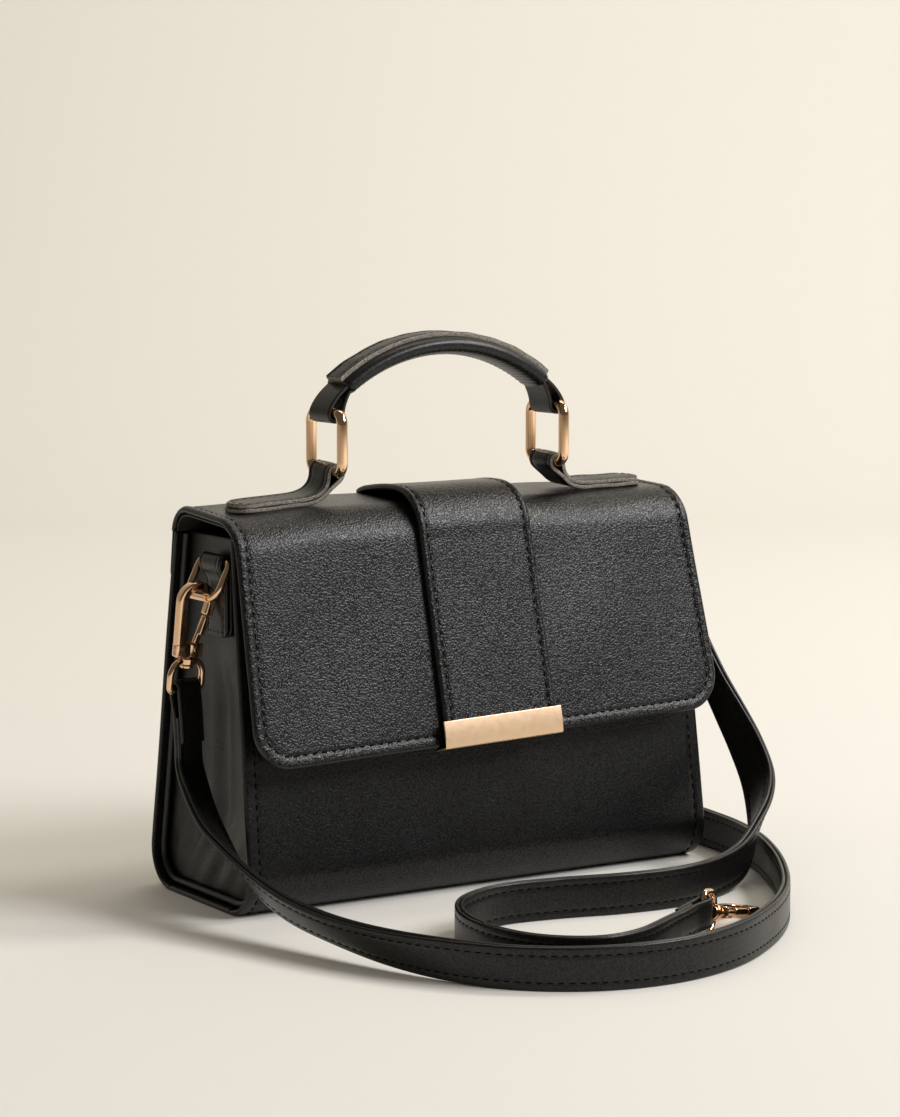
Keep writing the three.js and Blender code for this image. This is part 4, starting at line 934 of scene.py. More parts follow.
@dataclass(frozen=True)
class BodyShape:
    """Sizes of the body that the pieces round it share."""

    width: float = 220.0
    height: float = 146.0
    base_depth: float = 88.0
    lean: float = 0.132
    side_taper: float = 0.022
    base_radius: float = 16.0
    panel: float = 2.2
    board_inside: float = 2.5
    lining_inside: float = 4.0
    lining: float = 0.8
    gusset_face: float = 104.0
    gusset: float = 1.6
    sag_low: float = 4.0
    sag_depth: float = 3.6
    sag_rise: Pair = (6.0, 45.0)
    sag_fall: Pair = (78.0, 108.0)
    folds: tuple[tuple[float, ...], ...] = ((0.45, -9.0, 0.06, 6.5), (-0.4, 8.0, -0.05, 6.0))
    fold_share: float = 0.35
    fold_fall: Pair = (85.0, 112.0)
    crease: float = 0.55
    crease_slope: Pair = (0.42, 0.3)
    crease_z: float = 20.0
    crease_spread: float = 13.0

    @property
    def lean_angle(self) -> float:
        """Angle by which the front and back lean in."""
        return float(np.arctan(self.lean))

    @property
    def corner_y(self) -> float:
        """Distance from the middle to the centre of the base's round corner."""
        return self.half_depth(self.base_radius, self.base_radius)

    def half_depth(self, z: Any, inside: float = 0.0) -> Any:
        """Half depth at a height, to a surface that lies a distance inside the skin."""
        return self.base_depth / 2 - self.lean * z - inside * np.hypot(1.0, self.lean)

    def taper(self, points: Array) -> Array:
        """Points drawn in towards the top, as the bag's ends lean."""
        x, y, z = np.moveaxis(points, -1, 0)
        return coords(x * (1.0 - self.side_taper * z / (self.width / 2)), y, z)

    def front_line(self, inside: float, top: float) -> Array:
        """Front half of the section in (y, z), from its top edge down and round the base's corner."""
        turn = arc((-self.corner_y, self.base_radius), self.base_radius - inside,
                   np.pi - self.lean_angle, 1.5 * np.pi)
        return chained([(-self.half_depth(top, inside), top)], turn)

    def whole_line(self, inside: float, top: float) -> Array:
        """The whole section in (y, z), from the front's top edge under the base to the back's."""
        front = self.front_line(inside, top)
        return chained(front, (front * (-1.0, 1.0))[::-1])

    def end_half(self, z: Array, inside: float) -> Array:
        """Half depth of an end wall at a height, round the base's corners too."""
        radius = self.base_radius - inside
        below = np.clip(self.base_radius - z, 0.0, radius)
        return np.where(z < self.base_radius, self.corner_y + np.sqrt(radius ** 2 - below ** 2),
                        self.half_depth(z, inside))

    def sag(self, y: Array, z: Array) -> Array:
        """How far an end wall has sunk in: a soft hollow below its tab, folds, and creases near the base.

        A fold is height * exp(-((y - its y - slope * z) / spread) ** 2), and a crease a sine wave in (y, z).
        """
        across = np.clip(y / self.end_half(np.maximum(z, self.sag_low), self.board_inside), -1.0, 1.0)
        hold = (1.0 - across ** 2) ** 1.5
        hollow = self.sag_depth * ease(z, *self.sag_rise) * (1.0 - ease(z, *self.sag_fall))
        folds = sum(height * np.exp(-((y - fold_y - slope * z) / spread) ** 2)
                    for height, fold_y, slope, spread in self.folds)
        along_y, along_z = self.crease_slope
        creases = (self.crease * np.sin(along_y * y + along_z * z)
                   * np.exp(-((z - self.crease_z) / self.crease_spread) ** 2))
        uneven = folds * (1.0 - ease(z, *self.fold_fall)) + creases
        return hold * (hollow * (1.0 + self.fold_share * folds) + uneven)


BODY = BodyShape()
BACK_WAVES = Waves(height=0.55, span=70.0, seed=1.0)
FLAP_WAVES = Waves(height=0.7, span=75.0, seed=4.0)


@dataclass
class BagBody:
    """The body: wrapped panels, end gussets with their piping, the lining and its pocket."""

    shape: BodyShape = BODY
    seam: float = 5.0
    stitch_from: float = 4.0
    settle: Pair = (4.0, 34.0)
    wall_steps: Pair = (2.2, 1.8)
    wall_half: float = 40.0
    piping: float = 1.4
    piping_drop: float = 1.0
    lining_drop: float = 2.0
    pocket_half: float = 62.0
    pocket_span: Pair = (48.0, 118.0)
    pocket_seam: float = 3.0

    def settled(self, waves: Waves) -> Field:
        """Waves that fade out towards the base, which rests flat."""
        return lambda points: waves(points) * ease(points[..., 2], *self.settle)

    def build_panels(self) -> None:
        """Front, back and base, each a strip of the wrap, sewn along both ends."""
        shape = self.shape
        line = shape.front_line(shape.panel / 2, shape.height)
        base_half = shape.corner_y - CLEAR
        base = np.array([(-base_half, shape.panel / 2), (base_half, shape.panel / 2)])
        lines = {"front_panel": line, "back_panel": (line * (-1.0, 1.0))[::-1], "base_panel": base}
        for seed, (name, path) in enumerate(lines.items()):
            strip = Strip(path, shape.width / 2, shape.panel, outward=-1.0, seam=self.seam, roll=1.3,
                          relief=self.settled(replace(BACK_WAVES, seed=float(seed))), warp=shape.taper)
            runs = strip.side_runs(self.seam, self.stitch_from, strip.length - self.stitch_from)
            add_sewn(name, strip, runs, PANEL_STITCH, [WRAP_LEATHER, EDGE_PAINT], ON_BAG)

    def end_wall(self, side: Side, face: float, thickness: float, inside: float, top: float) -> Shell:
        """A soft wall across an end of the bag.

        A place is (y, z) with y a share of the outline's half depth; x is the face less the sag, and the two
        faces meet along the border.

        Args:
            side: the end.
            face: x of its outer face.
            thickness: its thickness.
            inside: how far its border lies inside the skin.
            top: height of its upper edge.

        Returns:
            The closed wall.
        """
        shape = self.shape
        row_step, column_step = self.wall_steps
        z = inside + places_along(top - inside, row_step, shape.base_radius - inside)[:, None]
        share = places_along(2.0 * self.wall_half, column_step)[None] / self.wall_half - 1.0
        half = shape.end_half(z, inside)
        y = share * half
        border = np.minimum(half * (1.0 - np.abs(share)), np.minimum(z - inside, top - z))
        left = np.sqrt(1.0 - (1.0 - np.clip(border / (thickness / 2), 0.0, 1.0)) ** 2)
        middle = face - thickness / 2 - shape.sag(y, z)
        sheets = [shape.taper(coords(side.value * (middle + way * left * thickness / 2), y, z))
                  for way in (1.0, -1.0)]
        return joined([grid_shell(sheet) for sheet in sheets])

    def build_ends(self) -> None:
        """Gussets and the piping in the corner between each and the wrap."""
        shape = self.shape
        for side in Side:
            wall = self.end_wall(side, shape.gusset_face, shape.gusset, shape.board_inside, shape.height)
            add_piece(f"{side.word}_gusset", [wall], [SMOOTH_LEATHER], ON_BAG)
            line = shape.whole_line(shape.board_inside + self.piping, shape.height - self.piping_drop)
            x = side.value * (shape.gusset_face + CLEAR + self.piping)
            place = Frame(x * X_AXIS, Y_AXIS, X_AXIS, Z_AXIS)
            cord = bent_wire(even(line, step=1.2), self.piping, place, closed=False, sides=14,
                             warp=shape.taper)
            add_piece(f"{side.word}_piping", [cord], [EDGE_PAINT], ON_BAG)

    def build_lining(self) -> None:
        """Lining bag with its open mouth, and the slip pocket sewn to its back."""
        shape = self.shape
        top = shape.height - self.lining_drop
        inside_half = shape.gusset_face - shape.gusset - CLEAR
        wrap = Strip(shape.whole_line(shape.lining_inside + shape.lining / 2, top), inside_half, shape.lining,
                     outward=-1.0, warp=shape.taper, step=4.0)
        walls = [self.end_wall(side, inside_half, shape.lining, shape.lining_inside, top) for side in Side]
        add_piece("lining", [wrap.shell(), *walls], [LINING], ON_BAG)
        low, high = self.pocket_span
        depth = shape.lining_inside + 1.5 * shape.lining + CLEAR
        line = np.array([(shape.half_depth(high, depth), high), (shape.half_depth(low, depth), low)])
        pocket = Strip(line, self.pocket_half, shape.lining, outward=-1.0, end_corner=8.0,
                       seam=self.pocket_seam, seam_ends=True, step=4.0)
        run = pocket.round_end_run(self.pocket_seam, start=1.0)
        piece, thread = add_sewn("slip_pocket", pocket, [run], POCKET_STITCH, [LINING], ON_BAG)

    def build(self) -> None:
        """Builds the body and finishes the stiffeners that stay as they are."""
        self.build_panels()
        self.build_ends()
        self.build_lining()
        for name in ("front_board", "back_board", "base_board"):
            dress_node(name, FIBRE_BOARD)


def dress_node(name: str, finish: Finish) -> None:
    """Gives a node that stays in view its finish."""
    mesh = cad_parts[name].data
    mesh.materials.clear()
    mesh.materials.append(finish.material())
    LOG.info("%s: kept, in %s", name, finish.name)


@dataclass
class Flap:
    """The flap with its lining, the bowed centre band, the metal end and the fold on the back panel."""

    body: BodyShape = BODY
    top: float = 157.0
    bottom: float = 63.3
    front: float = 51.0
    lean: float = 0.2533
    thickness: float = 2.4
    lining: float = 0.9
    lining_inset: float = 1.2
    back_radius: float = 11.0
    front_radius: float = 17.0
    half_width: float = 110.5
    side_lean: float = 0.033
    corner: float = 16.0
    seam: float = 4.6
    stitch_from: float = 3.0
    band_half: float = 26.5
    band: float = 2.6
    band_arch: float = 5.0
    band_back: float = 13.0
    band_tail: float = 4.0
    band_seam: float = 3.4
    band_stitch_ends: Pair = (2.0, 8.0)
    plate_half: float = 28.0
    plate_height: float = 9.6
    plate_back: float = 6.0
    plate: float = 1.0
    plate_crease: float = 3.0
    plate_lip: float = 0.1
    lower_tilt: float = 0.032
    lower_fade: Pair = (72.0, 138.0)
    front_fade: Pair = (-10.0, 10.0)
    end_set: Pair = (-2.1, 0.4)
    end_fade: Pair = (58.0, 106.0)
    fore_tilt: float = 0.05
    fore_middle: float = -5.0
    top_fade: Pair = (138.0, 156.0)
    fold_low: float = 124.0
    fold: float = 0.9
    fold_gap: float = 0.1
    fold_turn: float = 0.55
    fold_inset: float = 3.6
    fold_rows: Pair = (3.2, 9.0)
    fold_row_inset: float = 4.0
    fold_bend_y: float = 25.0
    fold_bend: Pair = (143.5, 150.0)

    @property
    def lean_angle(self) -> float:
        """Angle by which the flap's front leans."""
        return float(np.arctan(self.lean))

    @property
    def back_bend(self) -> Array:
        """Centre of the back bend in (y, z)."""
        z = self.top - self.back_radius
        return coords(self.body.half_depth(z, self.back_radius), z)

    @property
    def front_bend(self) -> Array:
        """Centre of the front bend in (y, z)."""
        z = self.top - self.front_radius
        skin = self.front - self.lean * (z - self.bottom)
        return coords(-skin + self.front_radius * np.hypot(1.0, self.lean), z)

    def by_edge(self, out: float, down: float) -> Array:
        """A (y, z) place by its distance out of the front face and down past the lower edge."""
        c, s = np.cos(self.lean_angle), np.sin(self.lean_angle)
        return coords(-self.front - out * c - down * s, self.bottom + out * s - down * c)

    def section(self, inside: float, inset: float) -> Array:
        """The flap's line in (y, z), a distance inside its skin, from the hinge to an inset from its edge."""
        start = self.body.height + CLEAR
        return chained(
            [(self.body.half_depth(start, inside), start)],
            arc(self.back_bend, self.back_radius - inside, self.body.lean_angle, np.pi / 2),
            arc(self.front_bend, self.front_radius - inside, np.pi / 2, np.pi - self.lean_angle),
            [self.by_edge(-inside, -inset)],
        )

    def hang(self, points: Array) -> Array:
        """The flap's own set: it hangs lower at the left, its top leans forward and has uneven ends."""
        x, y, z = np.moveaxis(points, -1, 0)
        low = self.lower_tilt * x * (1.0 - ease(z, *self.lower_fade)) * (1.0 - ease(y, *self.front_fade))
        ends = np.where(x < 0.0, self.end_set[0], self.end_set[1]) * ease(np.abs(x), *self.end_fade)
        high = (ends + self.fore_tilt * (y - self.fore_middle)) * ease(z, *self.top_fade)
        return coords(x, y, z + low + high)

    def drape(self, points: Array) -> Array:
        """Sides drawn in towards the top, then hung."""
        x, y, z = np.moveaxis(points, -1, 0)
        drawn = 1.0 - self.side_lean * (z - self.bottom + self.thickness) / self.half_width
        return self.hang(coords(x * drawn, y, z))

    def build_sheet(self) -> None:
        """The flap's leather and its lining."""
        leather = Strip(self.section(self.thickness / 2, 0.0), self.half_width, self.thickness, outward=-1.0,
                        end_corner=self.corner, roll=1.5, seam=self.seam, seam_ends=True, seam_depth=0.32,
                        welt=0.3, pucker=0.12, relief=FLAP_WAVES, warp=self.drape, step=1.3)
        run = leather.round_end_run(self.seam, self.stitch_from)
        add_sewn("flap", leather, [run], PANEL_STITCH, [PEBBLED_LEATHER, EDGE_PAINT], ON_FLAP)
        inside = self.thickness + CLEAR + self.lining / 2
        under = Strip(self.section(inside, self.lining_inset), self.half_width - self.lining_inset,
                      self.lining, outward=-1.0, end_corner=self.corner - self.lining_inset,
                      relief=FLAP_WAVES, warp=self.drape, step=3.5)
        piece = add_piece("flap_lining", [under.shell()], [LINING, EDGE_PAINT], ON_FLAP)

    def build_band(self) -> None:
        """The centre band: it bows up off the flap's top with a quarter sine wave and lies on the front."""
        seat = CLEAR + self.band / 2
        steps = 24
        share = np.linspace(0.0, 1.0, steps)
        lift = seat + (self.band_arch - seat) * np.sin(np.pi / 2 * share)
        run = self.band_back + (self.front_bend[0] - self.band_back) * share
        over = coords(run, self.top + lift)
        back = np.array([(self.band_back + self.band_tail, self.top)])
        angle = np.linspace(np.pi / 2, np.pi - self.lean_angle, steps)
        radius = (self.front_radius + lift[::-1])[:, None]
        turn = self.front_bend + radius * coords(np.cos(angle), np.sin(angle))
        line = chained(back, over[:-1], turn, [self.by_edge(seat, 0.0)])
        strip = Strip(softened(line, step=0.4, reach=3.0), self.band_half, self.band, outward=-1.0, roll=1.35,
                      seam=self.band_seam, seam_depth=0.35, welt=0.2,
                      relief=Waves(height=0.25, span=40.0, seed=2.0), warp=self.hang, step=2.0)
        start, stop = self.band_stitch_ends
        runs = strip.side_runs(self.band_seam, start, strip.length - stop)
        add_sewn("centre_band", strip, runs, PANEL_STITCH, [PEBBLED_LEATHER, EDGE_PAINT], ON_FLAP)

    def build_plate(self) -> None:
        """The metal end: a channel round the band's and flap's lower edge, its face bent along a crease."""
        near = CLEAR + self.band + CLEAR
        far = -(self.thickness + CLEAR + self.lining + CLEAR)
        thick = self.plate
        corners = [
            (near, -self.plate_height), (near, CLEAR), (far, CLEAR), (far, -self.plate_back),
            (far - thick, -self.plate_back), (far - thick, CLEAR + thick),
            (near + self.plate_lip * thick, CLEAR + thick),
            (near + thick, -self.plate_crease), (near + thick, -self.plate_height),
        ]
        outline = np.stack([self.by_edge(out, down) for out, down in corners])
        x = np.linspace(-self.plate_half, self.plate_half, 9)[:, None]
        points = coords(x, outline[:, 0], outline[:, 1])
        piece = add_piece("band_plate", [grid_shell(self.hang(points), loop_columns=True, caps=True)],
                          [SATIN_GOLD], ON_FLAP)
        bevel = piece.modifiers.new("worn_edges", "BEVEL")
        bevel.width = 0.28 * MM
        bevel.segments = 3
        bevel.limit_method = "ANGLE"
        bevel.angle_limit = np.radians(12.0)

    def build_fold(self) -> None:
        """The flap's tail: sewn down on the back panel, it curves over the body's top edge round the flap's
        back bend.
        """
        lay = self.fold_gap - self.fold / 2
        low, high = self.fold_low, self.body.height + CLEAR
        lean = self.body.lean_angle
        line = chained(
            [(self.body.half_depth(low, lay), low), (self.body.half_depth(high, lay), high)],
            arc(self.back_bend, self.back_radius - lay, lean, lean + self.fold_turn, steps=8),
        )
        strip = Strip(line, self.half_width - self.fold_inset, self.fold, outward=-1.0, start_corner=6.0,
                      roll=5.0, relief=BACK_WAVES, warp=self.hang, step=2.4)
        piece = add_piece("flap_fold", [strip.shell()], [PEBBLED_LEATHER, EDGE_PAINT], None)
        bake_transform(piece)
        half = strip.half_width - self.fold_row_inset
        rows = [np.array([(at, -half), (at, half)]) for at in self.fold_rows]
        add_piece("flap_fold_stitches", strip.sew(rows, PANEL_STITCH), [THREAD], ON_BAG)

    def build(self) -> None:
        """Builds all the flap's pieces."""
        self.build_sheet()
        self.build_band()
        self.build_plate()
        self.build_fold()
        dress_node("stud_washer", NICKEL)


@dataclass
class MagneticSnap:
    """The snap under the flap: a cup with its magnet on the front panel, a stud on the flap."""

    body: BodyShape = BODY
    flap: Flap = field(default_factory=Flap)
    rise: float = 20.7
    radius: float = 9.0
    depth: float = 4.2
    wall: float = 0.8
    bore: float = 4.0
    boss_radius: float = 3.2
    boss_height: float = 1.2
    play: float = 0.4
    soft: float = 0.35

    def build(self) -> None:
        """Turns the three pieces and seats them on the panel and on the flap's lining."""
        z = self.flap.bottom + self.rise
        lean, tilt = self.body.lean_angle, self.flap.lean_angle
        facing = coords(0.0, -np.cos(lean), np.sin(lean))
        inward = coords(0.0, np.cos(tilt), -np.sin(tilt))
        seat = coords(0.0, -self.body.half_depth(z), z) + CLEAR * facing
        cup_place = Frame.along(facing, X_AXIS, seat)
        inner = self.radius - self.wall
        cup = rounded([(0.0, 0.0), (self.radius, 0.0), (self.radius, self.depth), (inner, self.depth),
                       (inner, self.wall), (0.0, self.wall)], self.soft, closed=False)
        add_piece("snap_socket", [lathe(cup, cup_place)], [POLISHED_GOLD], ON_BAG)
        ring = rounded_box(self.bore, self.wall + CLEAR, inner - CLEAR, self.depth, radius=0.3)
        add_piece("snap_magnet", [lathe(ring, cup_place, loop=True)], [FERRITE], ON_BAG)
        inside = self.flap.thickness + self.flap.lining + 2 * CLEAR
        skin = coords(0.0, -(self.flap.front - self.flap.lean * self.rise), z)
        stud_seat = skin + inside * inward
        rim = seat + self.depth * facing
        tip = (rim - stud_seat) @ facing / (inward @ facing) - self.play
        stud_place = Frame.along(inward, X_AXIS, stud_seat)
        level = tip - self.boss_height
        stud = rounded([(0.0, 0.0), (self.radius, 0.0), (self.radius, level), (self.boss_radius, level),
                        (self.boss_radius, tip), (0.0, tip)], self.soft, closed=False)
        add_piece("snap_stud", [lathe(stud, stud_place)], [POLISHED_GOLD], ON_FLAP)
        dress_node("socket_washer", NICKEL)


@dataclass
class TopHandle:
    """The handle: anchor tabs on the flap's top, two wire rings, the strap through them and its grip."""

    flap: Flap = field(default_factory=Flap)
    y: float = -5.0
    ring_x: float = 53.0
    ring_width: float = 24.5
    ring_height: float = 23.5
    wire: float = 2.2
    ring_corner: float = 4.2
    ring_lift: float = 12.2
    tab_half: float = 7.8
    tab: float = 1.5
    tab_outer: float = 98.0
    tab_turn: float = 62.0
    tab_setback: float = 0.7
    tab_meet: int = 6
    tab_wrap: float = 0.9
    tab_corner: float = 7.4
    tab_seam: float = 2.2
    tab_stitched: float = 34.0
    strap_half: float = 7.8
    strap: float = 1.6
    arch_radius: float = 78.0
    arch_rise: float = 62.5
    grip_angle: float = 0.655
    grip_half: float = 9.7
    grip_low: float = -4.85
    grip_high: float = 3.1
    grip_power: float = 2.5
    grip_swell: float = 0.06
    grip_ends: tuple[float, ...] = (0.975, 0.99, 0.998, 1.0)
    grip_end_insets: tuple[float, ...] = (0.0, 0.15, 0.5, 1.1)
    wrinkle: float = 0.14
    wrinkle_span: float = 2.6
    wrinkle_sway: Pair = (2.0, 3.0)
    cap: float = 2.4
    cap_rise: float = 0.2
    cap_half: float = 5.6
    cap_seam: float = 2.0
    foam: float = 1.0
    foam_rise: float = 1.5
    foam_half: float = 6.4
    foam_share: float = 0.96
    tail_angle: float = 0.14
    strap_lead: float = 8.4

    @property
    def lower_bar(self) -> float:
        """Height of the middle of a ring's lower bar."""
        return self.flap.top + self.ring_lift

    @property
    def upper_bar(self) -> float:
        """Height of the middle of a ring's upper bar."""
        return self.lower_bar + self.ring_height

    def on_arch(self, angle: Any, above: Any) -> Array:
        """(x, z) on the handle's arch, by the angle from its top to the right and the height above it."""
        radius = self.arch_radius + above
        centre = self.flap.top + self.arch_rise - self.arch_radius
        return coords(radius * np.sin(angle), centre + radius * np.cos(angle))

    def build_tab(self, side: Side) -> None:
        """A tab folded close round its ring's lower bar, both layers sewn flat on the flap's top."""
        fold = self.wire + CLEAR + self.tab / 2
        low = self.flap.top + CLEAR + self.tab / 2
        high = low + self.tab + CLEAR
        away = self.ring_x + fold
        upper = bend((away, self.lower_bar), (away, high), (self.tab_turn + 2 * fold, high))
        lower = upper - (high - low) * left_of(unit(np.gradient(upper, axis=0)))
        line = chained(
            [(self.tab_outer, low)],
            lower[self.tab_meet:][::-1],
            arc((self.ring_x, self.lower_bar), fold, np.pi + self.tab_wrap, 0.0, steps=22),
            upper,
            [(self.tab_outer - self.tab_setback, high)],
        )
        line = softened(line * (side.value, 1.0), step=0.4, reach=2.0)
        strip = upright_strip(self.y, line, self.tab_half, high - low, side.value, roll=0.35,
                              start_corner=self.tab_corner, end_corner=self.tab_corner, seam=self.tab_seam,
                              seam_depth=0.25, welt=0.05, warp=self.flap.hang, step=1.6,
                              relief=Waves(height=0.3, span=22.0, seed=side.value))
        run = strip.round_end_run(self.tab_seam, strip.length - self.tab_stitched)
        add_sewn(f"{side.word}_anchor_tab", strip, [run], ANCHOR_STITCH, [SMOOTH_LEATHER, RAW_EDGE], ON_FLAP)

    def build_ring(self, side: Side) -> None:
        """A rounded rectangular ring of round wire, across the bag."""
        corner = self.ring_corner
        loop = rounded_loop(self.ring_width, self.lower_bar, self.upper_bar, corner, corner)
        place = Frame(coords(side.value * self.ring_x, self.y, 0.0), Y_AXIS, -X_AXIS, Z_AXIS)
        name = f"{side.word}_handle_ring"
        add_piece(name, [bent_wire(loop, self.wire, place)], [POLISHED_GOLD], f"{side.word}_ring")

    def build_strap(self) -> None:
        """The handle's strap: along the arch, round each ring's upper bar and back into the grip."""
        fold = self.wire + CLEAR + self.strap / 2
        drop = -self.strap - CLEAR
        bar_at = coords(self.ring_x, self.upper_bar)
        main = self.on_arch(np.linspace(0.0, self.grip_angle, 16), 0.0)
        tail = self.on_arch(np.linspace(self.grip_angle, self.grip_angle - self.tail_angle, 5), drop)
        half = chained(
            main,
            bend(main[-1], main[-1] + self.strap_lead * unit(main[-1] - main[-2]), bar_at + (fold, 0.0))[1:],
            arc(bar_at, fold, 0.0, -np.pi, steps=16)[1:],
            bend(bar_at + (-fold, 0.0), bar_at + (-fold, fold), tail[0])[1:],
            tail[1:],
        )
        line = chained((half * (-1.0, 1.0))[:0:-1], half)
        strip = upright_strip(self.y, softened(line, step=0.3, reach=1.8), self.strap_half, self.strap, 1.0,
                              roll=0.6, step=1.4)
        add_piece("handle_strap", [strip.shell()], [SMOOTH_LEATHER, EDGE_PAINT], "handle")

    def build_grip(self) -> None:
        """The padded grip: a full roll under the arch, and a flat cap of cut leather sewn along its top.

        The roll's section is a superellipse, |x / half| ** 2.5 + |z / half| ** 2.5 = 1, that fills a little
        between its ends and wrinkles finely along its inner bend.
        """
        ends = np.array(self.grip_ends)
        share = chained(-ends[:0:-1], np.linspace(-ends[0], ends[0], 140), ends[1:])[:, None]
        inset = np.interp(np.abs(share), ends, self.grip_end_insets)
        angle = share * self.grip_angle
        turn = full_turn(56)[None]
        across, up = (np.sign(way) * np.abs(way) ** (2 / self.grip_power)
                      for way in (np.cos(turn), np.sin(turn)))
        swell = 1.0 - self.grip_swell * (1.0 - np.cos(share * np.pi / 2))
        sway, sways = self.wrinkle_sway
        phase = angle * self.arch_radius * 2 * np.pi / self.wrinkle_span + sway * np.sin(sways * turn)
        wrinkle = self.wrinkle * np.clip(-up, 0.0, 1.0) * np.sin(phase)
        middle = (self.grip_low + self.grip_high) / 2
        half = (self.grip_high - self.grip_low) / 2
        flat = self.on_arch(angle, middle + (half * swell - inset - wrinkle) * up)
        deep = self.y + (self.grip_half * swell - inset - wrinkle) * across
        roll = grid_shell(coords(flat[..., 0], deep, flat[..., 1]), loop_columns=True, caps=True)
        cap_line = self.on_arch(np.linspace(-1.0, 1.0, 60) * self.grip_angle, self.grip_high + self.cap_rise)
        cap = upright_strip(self.y, cap_line, self.cap_half, self.cap, 1.0, roll=0.35, seam=self.cap_seam,
                            seam_depth=0.25, relief=Waves(height=0.25, span=14.0, seed=1.0), step=1.6)
        grip = add_piece("handle_grip", [roll, cap.shell()], [SMOOTH_LEATHER, RAW_EDGE], "handle")
        runs = cap.side_runs(self.cap_seam, self.cap_seam, cap.length - self.cap_seam)
        add_piece("handle_grip_stitches", cap.sew(runs, GRIP_STITCH), [THREAD], "handle")
        foam_reach = self.foam_share * self.grip_angle
        foam_line = self.on_arch(np.linspace(-foam_reach, foam_reach, 40), self.foam_rise)
        foam = upright_strip(self.y, foam_line, self.foam_half, self.foam, 1.0, step=3.0)
        padding = add_piece("grip_padding", [foam.shell()], [FOAM], "handle")

    def build(self) -> None:
        """Builds both ends, the strap and the grip."""
        for side in Side:
            self.build_tab(side)
            self.build_ring(side)
        self.build_strap()
        self.build_grip()


@dataclass
class SideRings:
    """The folded tab on each gusset and the wire ring that hangs in it."""

    body: BodyShape = BODY
    setback: float = 15.2
    half_width: float = 8.5
    tab: float = 1.5
    tab_corner: float = 4.0
    tab_seam: float = 2.2
    tab_stitched: float = 20.0
    length: float = 30.0
    bar_drop: float = 9.0
    ring_width: float = 24.0
    ring_height: float = 15.5
    wire: float = 1.4
    bar_corner: float = 2.6
    bow_corner: float = 6.0
    tilt: float = 0.454

    @property
    def bar_z(self) -> float:
        """Height of a ring's straight bar."""
        return self.body.height - self.bar_drop

    @property
    def y(self) -> float:
        """Middle of the tabs, from the front to the back."""
        return self.setback - self.body.half_depth(self.bar_z, self.body.panel)

    @property
    def face(self) -> float:
        """x of a tab's inner face on the gusset."""
        low = self.bar_z - self.length
        return self.body.gusset_face * (1.0 - self.body.side_taper * low / (self.body.width / 2)) + CLEAR

    @property
    def fold(self) -> float:
        """Radius of the tab's middle layer round the bar."""
        return self.wire + CLEAR + self.tab / 2

    @property
    def bar_x(self) -> float:
        """x of the ring's straight bar, at the right."""
        return self.face + self.tab / 2 + self.fold

    @property
    def bow(self) -> Array:
        """(x, z) of the middle of the right ring's bow."""
        return coords(self.bar_x + self.ring_height * np.sin(self.tilt),
                      self.bar_z - self.ring_height * np.cos(self.tilt))

    def build(self) -> None:
        """Builds the tab and the ring at each end."""
        for side in Side:
            near = self.face + self.tab / 2
            far = near + self.tab + CLEAR
            low = self.bar_z - self.length
            over = arc((self.bar_x, self.bar_z), self.fold, np.pi, 0.0, steps=16)
            landing = [(self.bar_x + self.fold, self.bar_z - self.fold), (far, self.bar_z - 3 * self.fold),
                       (far, low)]
            line = chained([(near, low)], over, landing) * (side.value, 1.0)
            line = softened(line, step=0.4, reach=2.0)
            corner = self.tab_corner
            strip = upright_strip(self.y, line, self.half_width, self.tab, side.value, start_corner=corner,
                                  end_corner=corner, seam=self.tab_seam, seam_depth=0.2, step=1.6)
            run = strip.round_end_run(self.tab_seam, strip.length - self.tab_stitched)
            add_sewn(f"{side.word}_side_tab", strip, [run], SIDE_TAB_STITCH, [SMOOTH_LEATHER, EDGE_PAINT],
                     ON_BAG)
            up = coords(-side.value * np.sin(self.tilt), 0.0, np.cos(self.tilt))
            bar_at = coords(side.value * self.bar_x, self.y, self.bar_z)
            place = Frame(bar_at, Y_AXIS, np.cross(up, Y_AXIS), up)
            loop = rounded_loop(self.ring_width, -self.ring_height, 0.0, self.bow_corner, self.bar_corner)
            name = f"{side.word}_side_ring"
            add_piece(name, [bent_wire(loop, self.wire, place)], [POLISHED_GOLD], f"{name}_body")


